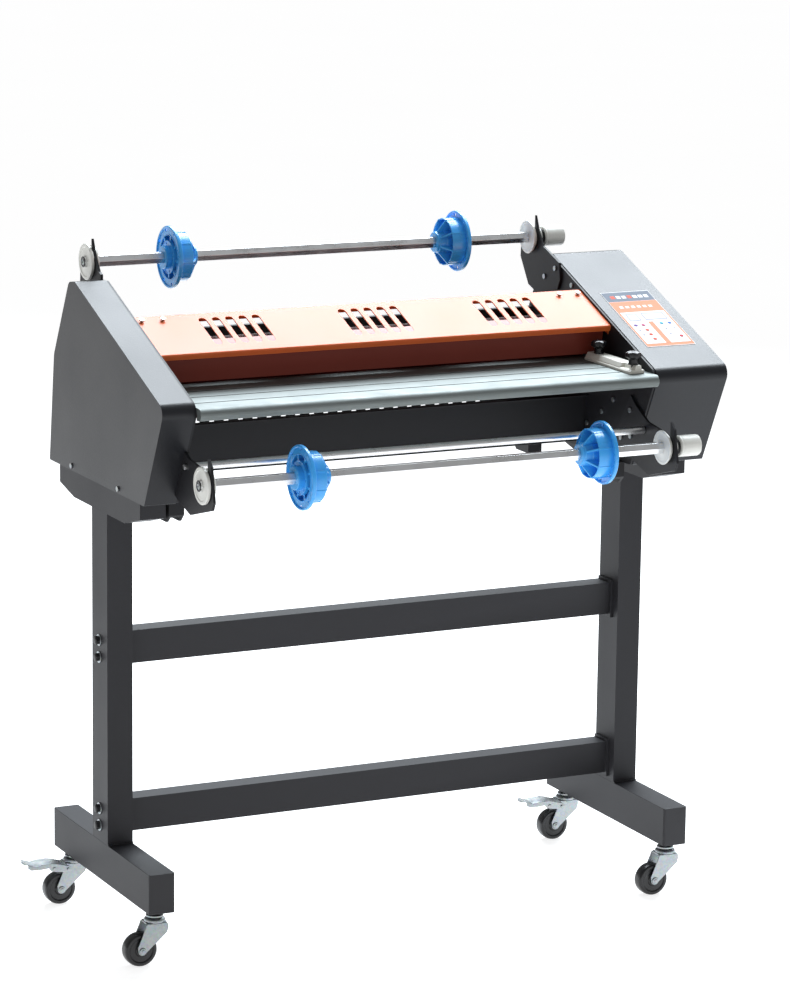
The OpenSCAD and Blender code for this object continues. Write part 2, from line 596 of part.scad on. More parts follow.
/* unwind shafts, discs, hubs */
hex_r = hex_af / sqrt(3);
module hex_x(x0, x1, p, r) translate([x0, p[0], p[1]]) rotate([0, 90, 0]) rotate([0, 0, 90]) cylinder(h = x1 - x0, r = r, $fn = 6);
module hex_shaft(p) {
  hex_x(bl_x - 8, br_x + 7, p, hex_r);
  rod_x(br_x + 7, xro + 42, p, 5);
}
module upper_hex_shaft() color(c_chrome) machine() hex_shaft(sh_up);
module lower_hex_shaft() color(c_chrome) machine() hex_shaft(sh_lo);

// the flanged bushings ride in the bracket slots and turn with the shaft
module spool_discs(p) {
  xm = bl_x + plate_t / 2;
  xn = br_x + plate_t / 2;
  difference() {
    union() {
      rod_x(xm - 7.5, xm - 2.5, p, disc_r);
      rod_x(xm - 2.5, xm + 2.5, p, neck_r);
      rod_x(xm + 2.5, xm + 6.5, p, disc_r - 3);
    }
    hex_x(xm - 9, xm + 9, p, hex_r);
  }
  difference() {
    union() {
      rod_x(xn - 9.5, xn - 5.5, p, disc_r - 1.5);
      rod_x(xn - 5.5, xn - 2.5, p, disc_r - 5);
      rod_x(xn - 2.5, xn + 4.2, p, neck_r);
    }
    hex_x(xn - 11, xn + 5, p, hex_r);
  }
}
module upper_spool_discs() color(c_white) machine() spool_discs(sh_up);
module lower_spool_discs() color(c_white) machine() spool_discs(sh_lo);

module tension_knob(p) difference() {
  union() {
    rod_x(xro + 2.4, xro + 5, p, 15);
    rod_x(xro + 5, xro + 12, p, 12.5);
    rod_x(xro + 12, xro + 46, p, 16);
  }
  rod_x(xro, xro + 42.5, p, 5.06);
}
module upper_tension_knob() color(c_white) machine() tension_knob(sh_up);
module lower_tension_knob() color(c_white) machine() tension_knob(sh_lo);

// core hub: flange at x = 0, collar towards -X, barrel and ribbed nose towards +X
hub_rib = [[3, 14], [39, 14], [39, 16], [36, 17.5], [24, core_r - 1], [3, core_r - 1]];
module hub_body() {
  rod_x(-3, 3, [0, 0], hub_flange_r);
  rod_x(-12, 36, [0, 0], 17.5);
  rod_x(36, 40, [0, 0], 16);
  difference() {
    rod_x(3, 24, [0, 0], core_r);
    rod_x(6, 25, [0, 0], core_r - 3);
  }
  for (a = [0 : 45 : 315]) rotate([a, 0, 0]) rotate([90, 0, 0])
    linear_extrude(height = 3, center = true) polygon(hub_rib);
}
module hub(turn) difference() {
  rotate([turn, 0, 0]) difference() {
    hub_body();
    for (a = [22.5 : 45 : 350]) rotate([a, 0, 0]) {
      box([-4, -2.5, 39], [4, 2.5, 44]);
      box([-4, -5, 25.5], [7, 5, core_r - 4.5]);
    }
  }
  hex_x(-20, 60, [0, 0], hex_r + 0.3);
}
module hub_on(p, s, at, turn) {
  translate([web_mid + s * at, p[0], p[1]]) if (s < 0) hub(turn);
  else mirror([1, 0, 0]) hub(turn);
}
module upper_left_hub() color(c_blue) machine() hub_on(sh_up, -1, hub_ul, 6);
module upper_right_hub() color(c_blue) machine() hub_on(sh_up, 1, hub_ur, 16);
module lower_left_hub() color(c_blue) machine() hub_on(sh_lo, -1, hub_ll, 23);
module lower_right_hub() color(c_blue) machine() hub_on(sh_lo, 1, hub_lr, 24);

module idler_rod() color(c_chrome) machine() {
  rod_x(xlo + 0.6, br_x - 0.6, idl, 5.5);
  rod_x(bl_x - 3, br_x + plate_t + 3, idl, 4);
}

/* controls */
module control_panel() color(c_white) machine() cover_slope() {
  box([xro + 19, 76, 0], [xro + 103, 240, 0.8]);
  box([xro + 27, 178, 0.8], [xro + 42, 190, 1.6]);
  box([xro + 48, 178, 0.8], [xro + 96, 190, 1.6]);
}
module power_inlet() color(c_black) machine() back_wall(inlet_x, inlet_z) {
  difference() {
    union() {
      box([-24, 0, -13], [24, 2.5, 13]);
      box([-14, -24, -10], [14, 0, 10]);
    }
    box([-12, -16, -8], [12, 4, 8]);
    for (x = [-20, 20]) rod_y(-1, 4, x, 0, 1.6);
  }
  for (x = [-6, 0, 6]) box([x - 1, -16, abs(x) < 1 ? 0 : -4], [x + 1, -2, abs(x) < 1 ? 4 : 0]);
  translate([42, 0, 0]) difference() {
    union() {
      box([-9.5, 0, -13], [9.5, 1.6, 13]);
      box([-6.7, -9, -10.2], [6.7, 0, 10.2]);
    }
    box([-6.3, -10, -9.6], [6.3, 3, 9.6]);
  }
}
module power_rocker() color(c_black) machine() back_wall(inlet_x + 42, inlet_z) {
  rod_x(-6, 6, [-1, 0], 1.5);
  rotate([90, 0, 90]) linear_extrude(height = 11, center = true)
    polygon([[-1, -9], [2.6, -9], [0.8, 0], [4.4, 9], [0, 9], [-6, 3], [-6, -3]]);
}

left_foot();
right_foot();
foot_caps();
left_post();
right_post();
lower_stretcher();
upper_stretcher();
stretcher_bolts();
left_top_beam();
right_top_beam();
caster_stems();
front_left_fork();
front_right_fork();
rear_left_fork();
rear_right_fork();
front_left_wheel();
front_right_wheel();
rear_left_wheel();
rear_right_wheel();
rear_left_brake();
rear_right_brake();
left_frame_plate();
right_frame_plate();
belly_pan();
lower_panel();
left_cover();
right_cover();
panel_screws();
feed_table();
side_guide();
rear_guide_knob();
front_guide_knob();
vent_cover();
roller_guard();
upper_roller();
lower_roller();
roller_bearings();
upper_gear();
lower_gear();
drive_gear();
motor_pinion();
gear_motor();
left_upper_bracket();
right_upper_bracket();
left_lower_bracket();
right_lower_bracket();
upper_hex_shaft();
lower_hex_shaft();
upper_spool_discs();
lower_spool_discs();
upper_tension_knob();
lower_tension_knob();
upper_left_hub();
upper_right_hub();
lower_left_hub();
lower_right_hub();
idler_rod();
control_panel();
power_inlet();
power_rocker();
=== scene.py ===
"""Looks of the roll laminator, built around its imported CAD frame. Metres, +X right, +Y back, +Z up."""
import json
import math
import bmesh
import bpy
from mathutils import Matrix, Vector

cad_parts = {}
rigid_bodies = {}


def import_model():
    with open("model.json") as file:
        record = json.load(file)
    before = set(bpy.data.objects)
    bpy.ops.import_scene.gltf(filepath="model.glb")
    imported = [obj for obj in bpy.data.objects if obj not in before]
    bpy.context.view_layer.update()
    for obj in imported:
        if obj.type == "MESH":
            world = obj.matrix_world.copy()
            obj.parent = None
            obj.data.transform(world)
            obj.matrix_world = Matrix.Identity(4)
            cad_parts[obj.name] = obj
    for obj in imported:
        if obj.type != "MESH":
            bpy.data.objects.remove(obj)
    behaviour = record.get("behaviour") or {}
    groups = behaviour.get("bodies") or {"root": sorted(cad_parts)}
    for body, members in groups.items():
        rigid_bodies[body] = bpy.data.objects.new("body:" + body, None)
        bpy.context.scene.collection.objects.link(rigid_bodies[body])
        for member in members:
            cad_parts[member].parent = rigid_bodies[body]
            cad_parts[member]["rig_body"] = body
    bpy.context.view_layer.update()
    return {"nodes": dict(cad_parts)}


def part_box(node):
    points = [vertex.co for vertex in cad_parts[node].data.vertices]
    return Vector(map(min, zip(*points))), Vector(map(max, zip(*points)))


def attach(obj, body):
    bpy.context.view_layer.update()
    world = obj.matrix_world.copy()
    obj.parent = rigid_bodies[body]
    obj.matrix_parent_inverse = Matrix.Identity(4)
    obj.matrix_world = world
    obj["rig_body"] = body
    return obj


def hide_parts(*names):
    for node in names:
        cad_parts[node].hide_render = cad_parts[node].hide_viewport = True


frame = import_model()
NODES = frame["nodes"]
MM = 0.001


# ---------------------------------------------------------------- materials
class Graph:
    """A material's node tree, with short calls for the nodes used here."""

    def __init__(self, name):
        self.mat = bpy.data.materials.new(name)
        self.mat.use_nodes = True
        self.tree = self.mat.node_tree
        self.shader = self.tree.nodes["Principled BSDF"]
        self.coord = self.add("ShaderNodeTexCoord").outputs["Object"]

    def add(self, kind, **inputs):
        """A new node with its inputs fed by name."""
        node = self.tree.nodes.new(kind)
        for key, value in inputs.items():
            self.feed(node.inputs[key.replace("_", " ")], value)
        return node

    def feed(self, socket, value):
        """Links a socket or sets a value."""
        if isinstance(value, bpy.types.NodeSocket):
            self.tree.links.new(value, socket)
        else:
            socket.default_value = value

    def stretched(self, scale):
        """Object coordinates scaled by axis."""
        node = self.add("ShaderNodeMapping", Vector=self.coord)
        node.inputs["Scale"].default_value = scale
        return node.outputs["Vector"]

    def noise(self, scale, detail=3.0, stretch=None, rough=0.55):
        """Fractal noise from 0 to 1."""
        vector = self.stretched(stretch) if stretch else self.coord
        node = self.add("ShaderNodeTexNoise", Vector=vector, Scale=scale, Detail=detail, Roughness=rough)
        return node.outputs["Fac"]

    def ramp(self, value, low, high, out_low=0.0, out_high=1.0):
        """A value mapped from low..high to out_low..out_high, and held there."""
        node = self.add("ShaderNodeMapRange", Value=value)
        for key, number in (("From Min", low), ("From Max", high), ("To Min", out_low),
                            ("To Max", out_high)):
            node.inputs[key].default_value = number
        return node.outputs["Result"]

    def math(self, operation, a, b=0.0):
        """One arithmetic node."""
        node = self.add("ShaderNodeMath")
        node.operation = operation
        self.feed(node.inputs[0], a)
        self.feed(node.inputs[1], b)
        return node.outputs["Value"]

    def mix(self, fac, a, b):
        """A blend of two colours."""
        node = self.add("ShaderNodeMix")
        node.data_type = "RGBA"
        self.feed(node.inputs["Factor"], fac)
        self.feed(node.inputs["A"], a)
        self.feed(node.inputs["B"], b)
        return node.outputs["Result"]

    def bump(self, height, distance, strength=1.0, normal=None):
        """A bumped normal, on top of another one if it is given."""
        node = self.add("ShaderNodeBump", Height=height, Distance=distance, Strength=strength)
        if normal is not None:
            self.feed(node.inputs["Normal"], normal)
        return node.outputs["Normal"]

    def set(self, **values):
        """Feeds the shader's sockets by name."""
        for key, value in values.items():
            self.feed(self.shader.inputs[key.replace("_", " ")], value)


def tint(color, k):
    """A colour made k times as bright."""
    return tuple(min(1.0, c * k) for c in color[:3]) + (1.0,)


def linear(r, g, b):
    """Screen colour 0-255 to linear."""
    def one(c):
        c /= 255
        return c / 12.92 if c < 0.04045 else ((c + 0.055) / 1.055) ** 2.4
    return (one(r), one(g), one(b), 1.0)


def edge_wear(g, low=0.52, high=0.60):
    """Brighter where the surface is sharply convex."""
    geometry = g.add("ShaderNodeNewGeometry")
    return g.ramp(geometry.outputs["Pointiness"], low, high)


def painted(name, color, rough=0.42, grain=900.0, grain_depth=0.00005, mottle=0.10, spec=0.5, wear=0.35):
    """Sprayed and baked paint: fine orange peel, faint cloudiness, a little dust and worn edges."""
    g = Graph(name)
    cloud = g.noise(7.0, 4.0)
    fine = g.noise(grain, 2.0)
    base = g.mix(g.ramp(cloud, 0.35, 0.68), tint(color, 1 - mottle), tint(color, 1 + mottle))
    speck = g.ramp(fine, 0.62, 0.80, 0.0, 0.16)
    base = g.mix(speck, base, tint(color, 2.2))
    base = g.mix(g.math("MULTIPLY", edge_wear(g), wear), base, tint(color, 2.4))
    g.set(Base_Color=base, Specular_IOR_Level=spec)
    g.set(Roughness=g.ramp(g.math("ADD", cloud, g.math("MULTIPLY", fine, 0.5)), 0.4, 1.1, rough - 0.05,
                           rough + 0.07))
    g.set(Normal=g.bump(fine, grain_depth, 0.7, g.bump(cloud, 0.0006, 0.15)))
    return g.mat


def plastic(name, color, rough=0.38, grain=1500.0, grain_depth=0.00002, mottle=0.05, spec=0.5, wear=0.2,
            coat=0.0):
    """Moulded plastic: near smooth, with faint flow marks and handling scuffs."""
    g = Graph(name)
    cloud = g.noise(18.0, 5.0)
    fine = g.noise(grain, 2.0)
    scuff = g.ramp(g.noise(60.0, 6.0, (1.0, 3.5, 1.0)), 0.60, 0.75, 0.0, 0.35)
    base = g.mix(g.ramp(cloud, 0.35, 0.68), tint(color, 1 - mottle), tint(color, 1 + mottle))
    base = g.mix(g.math("MULTIPLY", edge_wear(g), wear), base, tint(color, 1.5))
    g.set(Base_Color=base, Specular_IOR_Level=spec, Coat_Weight=coat, Coat_Roughness=0.12)
    g.set(Roughness=g.ramp(g.math("ADD", cloud, scuff), 0.4, 1.0, rough - 0.05, rough + 0.12))
    g.set(Normal=g.bump(fine, grain_depth, 0.5, g.bump(cloud, 0.0004, 0.12)))
    return g.mat


def metal(name, color, rough=0.28, stretch=(1.0, 40.0, 40.0), scale=120.0, depth=0.00003, mottle=0.10,
          cloud_scale=25.0):
    """Bare or plated metal with a drawn or brushed direction along the axis that isn't stretched."""
    g = Graph(name)
    cloud = g.noise(cloud_scale, 4.0)
    brush = g.noise(scale, 3.0, stretch)
    base = g.mix(g.ramp(cloud, 0.35, 0.7), tint(color, 1 - mottle), tint(color, 1 + mottle))
    base = g.mix(g.ramp(brush, 0.5, 0.8, 0.0, 0.25), base, tint(color, 0.7))
    g.set(Base_Color=base, Metallic=1.0)
    g.set(Roughness=g.ramp(g.math("ADD", cloud, brush), 0.7, 1.3, rough - 0.08, rough + 0.12))
    g.set(Normal=g.bump(brush, depth, 0.6))
    return g.mat


def zinc_plate(name):
    """Bright zinc: cool, slightly blotchy, with a faint blue and yellow cast."""
    g = Graph(name)
    cloud = g.noise(90.0, 4.0)
    flecks = g.add("ShaderNodeTexVoronoi", Vector=g.coord, Scale=420.0).outputs["Color"]
    hue = g.mix(g.ramp(cloud, 0.38, 0.66), (0.32, 0.36, 0.38, 1), (0.42, 0.44, 0.435, 1))
    hue = g.mix(0.08, hue, flecks)
    g.set(Base_Color=hue, Metallic=1.0)
    g.set(Roughness=g.ramp(cloud, 0.3, 0.7, 0.32, 0.50))
    g.set(Normal=g.bump(g.noise(600.0, 2.0), 0.00004, 0.4))
    return g.mat


def rubber(name, color):
    """Ground silicone: matt, with fine rings round the roller."""
    g = Graph(name)
    rings = g.noise(900.0, 2.0, (1.0, 0.03, 0.03))
    cloud = g.noise(14.0, 4.0)
    base = g.mix(g.ramp(cloud, 0.3, 0.7), tint(color, 0.85), tint(color, 1.12))
    base = g.mix(g.ramp(rings, 0.55, 0.8, 0.0, 0.3), base, tint(color, 0.6))
    g.set(Base_Color=base, Specular_IOR_Level=0.35)
    g.set(Roughness=g.ramp(rings, 0.3, 0.7, 0.48, 0.66))
    g.set(Normal=g.bump(rings, 0.00005, 0.5))
    return g.mat


MATS = {
    "stand_paint": painted("stand_paint_m", linear(41, 41, 44), rough=0.48, spec=0.24),
    "foot_cap": plastic("foot_cap_m", linear(52, 52, 55), rough=0.55, spec=0.30),
    "black_bolt": painted("black_bolt_m", linear(30, 30, 32), rough=0.40, grain=2200, spec=0.45),
    "body_steel": painted("body_steel_m", linear(27, 27, 30), rough=0.48, spec=0.24),
    "cover_paint": painted("cover_paint_m", linear(30, 31, 35), rough=0.36, grain=520, grain_depth=0.00022,
                           spec=0.30),
    "zinc": zinc_plate("zinc_m"),
    "gear_steel": metal("gear_steel_m", (0.42, 0.42, 0.43, 1), 0.34),
    "caster_tread": plastic("caster_tread_m", linear(28, 28, 30), rough=0.32, spec=0.5),
    "table_aluminium": metal("table_aluminium_m", (0.245, 0.27, 0.265, 1), 0.66, stretch=(0.1, 20.0, 20.0),
                             mottle=0.04),
    "guide_plastic": plastic("guide_plastic_m", linear(232, 231, 222), rough=0.42, wear=0.0),
    "black_plastic": plastic("black_plastic_m", linear(26, 26, 29), rough=0.30, spec=0.5),
    "motor_paint": painted("motor_paint_m", linear(58, 58, 62), rough=0.35),
    "orange_paint": painted("orange_paint_m", linear(232, 108, 52), rough=0.34, grain_depth=0.00002,
                            mottle=0.04, spec=0.33,
                            wear=0.12),
    # painted shade: a darker copy of the orange paint for the guard, which sits in shade under the lip
    "guard": painted("guard_painted_shade_m", linear(150, 62, 47), rough=0.40, grain_depth=0.00002, mottle=0.04,
                     wear=0.12),
    "roller_rubber": rubber("roller_rubber_m", linear(100, 37, 30)),
    "shaft_chrome": metal("shaft_chrome_m", (0.86, 0.865, 0.87, 1), 0.30, stretch=(0.05, 14.0, 14.0),
                          depth=0.00001, mottle=0.02),
    "white_plastic": plastic("white_plastic_m", linear(228, 228, 222), rough=0.36, wear=0.0),
    "hub_blue": plastic("hub_blue_m", linear(62, 168, 244), rough=0.30, spec=0.5, coat=0.2),
    "panel_film": plastic("panel_film_m", linear(226, 226, 222), rough=0.25, wear=0.0),
}

SLOT_NODES = {
    "stand_paint": ["left_foot", "right_foot", "left_post", "right_post", "lower_stretcher",
                    "upper_stretcher",
                    "left_top_beam", "right_top_beam"],
    "foot_cap": ["foot_caps"],
    "black_bolt": ["stretcher_bolts"],
    "body_steel": ["left_frame_plate", "right_frame_plate", "belly_pan", "lower_panel",
                   "left_upper_bracket",
                   "right_upper_bracket", "left_lower_bracket", "right_lower_bracket"],
    "cover_paint": ["left_cover", "right_cover"],
    "zinc": ["caster_stems", "front_left_fork", "front_right_fork", "rear_left_fork", "rear_right_fork",
             "rear_left_brake", "rear_right_brake", "panel_screws", "roller_bearings"],
    "gear_steel": ["upper_gear", "lower_gear", "drive_gear", "motor_pinion"],
    "caster_tread": ["front_left_wheel", "front_right_wheel", "rear_left_wheel", "rear_right_wheel"],
    "table_aluminium": ["feed_table"],
    "guide_plastic": ["side_guide"],
    "black_plastic": ["rear_guide_knob", "front_guide_knob", "power_inlet", "power_rocker"],
    "motor_paint": ["gear_motor"],
    "orange_paint": ["vent_cover", "roller_guard"],
    "roller_rubber": ["upper_roller", "lower_roller"],
    "shaft_chrome": ["upper_hex_shaft", "lower_hex_shaft", "idler_rod"],
    "white_plastic": ["upper_spool_discs", "lower_spool_discs", "upper_tension_knob", "lower_tension_knob"],
    "hub_blue": ["upper_left_hub", "upper_right_hub", "lower_left_hub", "lower_right_hub"],
    "panel_film": ["control_panel"],
}
BEVEL_MM = {"stand_paint": 2.5, "foot_cap": 1.0, "black_bolt": 0.5, "body_steel": 0.6, "cover_paint": 0.7,
            "zinc": 0.35,
            "gear_steel": 0.25, "caster_tread": 0.5, "table_aluminium": 0.5, "guide_plastic": 0.8,
            "black_plastic": 0.5,
            "motor_paint": 1.2, "orange_paint": 0.6, "roller_rubber": 0.8, "shaft_chrome": 0.4,
            "white_plastic": 0.6,
            "hub_blue": 0.5, "panel_film": 0.2}


def smooth_group():
    """Nodes for a modifier that drops the imported normals and shades smooth, so no CAD mesh is edited."""
    group = bpy.data.node_groups.new("smooth_shading", "GeometryNodeTree")
    group.interface.new_socket("Geometry", in_out="INPUT", socket_type="NodeSocketGeometry")
    group.interface.new_socket("Geometry", in_out="OUTPUT", socket_type="NodeSocketGeometry")
    source = group.nodes.new("NodeGroupInput")
    plain = group.nodes.new("GeometryNodeRemoveAttribute")
    plain.inputs["Name"].default_value = "custom_normal"
    smooth = group.nodes.new("GeometryNodeSetShadeSmooth")
    result = group.nodes.new("NodeGroupOutput")
    group.links.new(source.outputs["Geometry"], plain.inputs["Geometry"])
    group.links.new(plain.outputs["Geometry"], smooth.inputs["Geometry"])
    group.links.new(smooth.outputs["Geometry"], result.inputs["Geometry"])
    return group


SMOOTH = smooth_group()
# bends sharper than this, in degrees, are rounded on a CAD node
CAD_BEVEL_ANGLE = 28.0


def soften(obj, width):
    """Rounds the crisp edges of a CAD node with modifiers only."""
    obj.modifiers.new("smooth", "NODES").node_group = SMOOTH
    weld = obj.modifiers.new("weld", "WELD")
    weld.merge_threshold = 1e-6
    flat = obj.modifiers.new("flat", "DECIMATE")
    flat.decimate_type = "DISSOLVE"
    flat.angle_limit = math.radians(0.3)
    bevel = obj.modifiers.new("bevel", "BEVEL")
    bevel.width = width
    bevel.segments = 2
    bevel.limit_method = "ANGLE"
    bevel.angle_limit = math.radians(CAD_BEVEL_ANGLE)
    bevel.harden_normals = False
    bevel.use_clamp_overlap = True
    normals = obj.modifiers.new("normals", "WEIGHTED_NORMAL")
    normals.keep_sharp = False


def dress(obj, mat):
    """Gives a CAD node its material through its own slots."""
    for place in obj.material_slots:
        place.material = mat


for slot, names in SLOT_NODES.items():
    for node in names:
        dress(NODES[node], MATS[slot])
        soften(NODES[node], BEVEL_MM[slot] * MM)


# the guard under the lip is the cover's orange, made darker as painted shade because it always sits in shade
dress(NODES["roller_guard"], MATS["guard"])


# ---------------------------------------------------------------- mesh helpers
def frame_at(origin, axis, up=(0.0, 0.0, 1.0)):
    """A matrix whose local Z runs along axis, and whose local X is as near up as it can be."""
    z = Vector(axis).normalized()
    if abs(z.dot(Vector(up))) > 0.99:
        up = (1.0, 0.0, 0.0)
    x = (Vector(up) - z * Vector(up).dot(z)).normalized()
    y = z.cross(x)
    return Matrix.Translation(Vector(origin)) @ Matrix((x, y, z)).transposed().to_4x4()


def add_face(bm, verts, mat):
    """A face over the distinct ones of verts, or nothing where they collapse to a line."""
    distinct = list(dict.fromkeys(verts))
    if len(distinct) > 2:
        face = bm.faces.new(distinct)
        face.material_index = mat
        face.smooth = True


def lathe(bm, m, profile, n=64, closed=False, mat=0, shape=None):
    """Turns a profile of (radius, height) points in mm round local Z; shape(angle, radius) bends it."""
    rings = []
    for r, z in profile:
        if r <= 0:
            rings.append([bm.verts.new(m @ Vector((0, 0, z * MM)))] * n)
            continue
        ring = []
        for i in range(n):
            a = math.tau * i / n
            rr = shape(a, r) if shape else r
            ring.append(bm.verts.new(m @ Vector((rr * math.cos(a) * MM, rr * math.sin(a) * MM, z * MM))))
        rings.append(ring)
    pairs = list(zip(rings, rings[1:]))
    if closed:
        pairs.append((rings[-1], rings[0]))
    for low, high in pairs:
        for i in range(n):
            j = (i + 1) % n
            add_face(bm, [low[i], low[j], high[j], high[i]], mat)
    if not closed:
        for ring in (rings[0], rings[-1]):
            add_face(bm, ring, mat)


def prism(bm, m, outline, z0, z1, mat=0, side_mats=None):
    """Extrudes an outline of (x, y) points in mm along local Z; side_mats gives each side its own
    material."""
    low = [bm.verts.new(m @ Vector((x * MM, y * MM, z0 * MM))) for x, y in outline]
    high = [bm.verts.new(m @ Vector((x * MM, y * MM, z1 * MM))) for x, y in outline]
    add_face(bm, low, mat)
    add_face(bm, high, mat)
    for i in range(len(outline)):
        j = (i + 1) % len(outline)
        add_face(bm, [low[i], low[j], high[j], high[i]], side_mats[i] if side_mats else mat)


def block(bm, m, lo, hi, mat=0):
    """A box between two corners in mm."""
    prism(bm, m, [(lo[0], lo[1]), (hi[0], lo[1]), (hi[0], hi[1]), (lo[0], hi[1])], lo[2], hi[2], mat)


def polar_plate(bm, m, radii, z0, z1, n, solid, mat=0):
    """An annular plate made of cells; the cells for which solid(band, step) is false are open."""
    made = {}
    bands = len(radii) - 1

    def vert(k, i, z):
        """The corner of a cell, made once and then shared."""
        key = (k, i % n, z)
        if key not in made:
            a = math.tau * (i % n) / n
            made[key] = bm.verts.new(m @ Vector((radii[k] * math.cos(a) * MM, radii[k] * math.sin(a) * MM,
                                                 z * MM)))
        return made[key]

    def is_solid(k, i):
        """Whether there is a cell and it isn't open."""
        return 0 <= k < bands and solid(k, i % n)

    for k in range(bands):
        for i in range(n):
            if not solid(k, i):
                continue
            corners = [(k, i), (k, i + 1), (k + 1, i + 1), (k + 1, i)]
            for z in (z0, z1):
                add_face(bm, [vert(*c, z) for c in corners], mat)
            for (ka, ia), (kb, ib), (kn, i_n) in (
                (corners[0], corners[1], (k - 1, i)),
                (corners[1], corners[2], (k, i + 1)),
                (corners[2], corners[3], (k + 1, i)),
                (corners[3], corners[0], (k, i - 1)),
            ):
                if not is_solid(kn, i_n):
                    add_face(bm, [vert(ka, ia, z0), vert(kb, ib, z0), vert(kb, ib, z1), vert(ka, ia, z1)],
                             mat)


def make(name, bm, body, mats, replaces=(), bevel=0.4, segments=2, angle=30.0):
    """Turns a bmesh into a finished piece that rides on a body."""
    bmesh.ops.recalc_face_normals(bm, faces=bm.faces)
    mesh = bpy.data.meshes.new(name)
    bm.to_mesh(mesh)
    bm.free()
    obj = bpy.data.objects.new(name, mesh)
    bpy.context.scene.collection.objects.link(obj)
    for mat in mats:
        mesh.materials.append(mat)
    if bevel:
        mod = obj.modifiers.new("bevel", "BEVEL")
        mod.width = bevel * MM
        mod.segments = segments
        mod.limit_method = "ANGLE"
        mod.angle_limit = math.radians(angle)
        mod.use_clamp_overlap = True
    obj.modifiers.new("normals", "WEIGHTED_NORMAL").keep_sharp = False
    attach(obj, body)
    if replaces:
        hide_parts(*replaces)
    return obj


def body_of(node):
    """The name of the body that a CAD node rides on."""
    return NODES[node]["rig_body"]


def middle(node):
    """The middle of a CAD node's box."""
    lo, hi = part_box(node)
    return (lo + hi) / 2


# half the width over the flats of a shaft, with its clearance, in mm
HEX_FLAT = (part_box("upper_hex_shaft")[1].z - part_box("upper_hex_shaft")[0].z) / 2 / MM + 0.25


def hex_bore(limit):
    """A lathe shape that turns the points inside limit into a hexagonal bore with a flat at the top."""
    def shape(a, r):
        """The bore's radius in the direction a, or r outside the limit."""
        if r > limit:
            return r
        return HEX_FLAT / math.cos((a + math.pi / 6) % (math.pi / 3) - math.pi / 6)
    return shape


# ---------------------------------------------------------------- core hubs
# how far each hub is turned on its shaft, in degrees, and the length of a hub's outer collar
HUB_TURN = {"upper_left_hub": 6, "upper_right_hub": 16, "lower_left_hub": 23, "lower_right_hub": 24}
HUB_COLLAR = 0.012
# radius inside which a profile's points belong to the hexagonal bore
BORE_LIMIT = 9.9


def hub(node, side):
    """A moulded core hub: rimmed flange with windows, ribbed barrel, gussets to the nose, collar outside."""
    lo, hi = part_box(node)
    at = middle(node)
    at.x = lo.x + HUB_COLLAR if side < 0 else hi.x - HUB_COLLAR
    still = frame_at(at, (-side, 0, 0))
    m = still @ Matrix.Rotation(math.radians(22.5 + side * HUB_TURN[node]) * -1, 4, "Z")
    bm = bmesh.new()
    n = 96
    lathe(bm, m, [(43.0, -1.2), (43.6, -2.7), (44.2, -3.0), (46.0, -3.0), (47.0, -2.0), (47.0, 2.0),
                  (46.0, 3.0),
                  (44.2, 3.0), (43.6, 2.7), (43.0, 1.2)], n, True)
    polar_plate(bm, m, [33.4, 38.6, 39.4, 42.6, 43.4], -1.0, 1.2, n,
                lambda k, i: k != 2 or (i % 12) not in (0, 11))
    polar_plate(bm, m, [24.0, 33.6], -0.4, 1.6, n, lambda k, i: (i % 12) in (5, 6))
    lathe(bm, m, [(33.0, -1.8), (34.4, -1.8), (34.4, 1.0), (33.0, 1.0)], n, True)
    polar_plate(bm, m, [17.0, 19.6, 22.6, 24.6], -2.6, 1.8, n, lambda k,
                i: k != 1 or (i % 12) not in (0, 11))
    lathe(bm, m, [(23.8, -3.4), (25.0, -3.4), (25.0, 2.2), (23.8, 2.2)], n, True)
    lathe(bm, m, [(34.4, 0.8), (36.8, 0.8), (36.8, 22.8), (36.2, 24.0), (35.0, 24.0), (34.4, 23.2)], n,
          True)
    lathe(bm, still, [(9.5, -12.0), (16.5, -12.0), (17.5, -11.0), (17.5, 1.0), (19.0, 1.4), (19.0, 24.0),
                      (17.8, 26.0),
                      (17.4, 35.2), (16.2, 36.0), (16.0, 38.8), (14.8, 40.0), (9.5, 40.0)], n, True, 0,
                      hex_bore(BORE_LIMIT))
    polar_plate(bm, m, [18.6, 35.0], 12.6, 14.2, n, lambda k, i: True)
    for k in range(8):
        turn = m @ Matrix.Rotation(math.radians(22.5 + 45 * k), 4, "Z")
        block(bm, turn, (36.2, -1.4, 1.0), (37.5, 1.4, 23.4))
        block(bm, turn, (17.5, -1.1, 0.6), (35.0, 1.1, 20.0))
        flat = turn @ Matrix.Rotation(math.pi / 2, 4, "X")
        prism(bm, flat, [(17.2, 18.0), (35.0, 18.0), (37.2, 21.5), (37.2, 23.8), (34.8, 25.6), (18.6, 36.0),
                         (16.8, 36.0)], -1.3, 1.3)
    return make(node + "_moulding", bm, body_of(node), [MATS["hub_blue"]], [node], 0.35)


for hub_node, hub_side in (("upper_left_hub", -1), ("upper_right_hub", 1), ("lower_left_hub", -1),
                           ("lower_right_hub", 1)):
    hub(hub_node, hub_side)


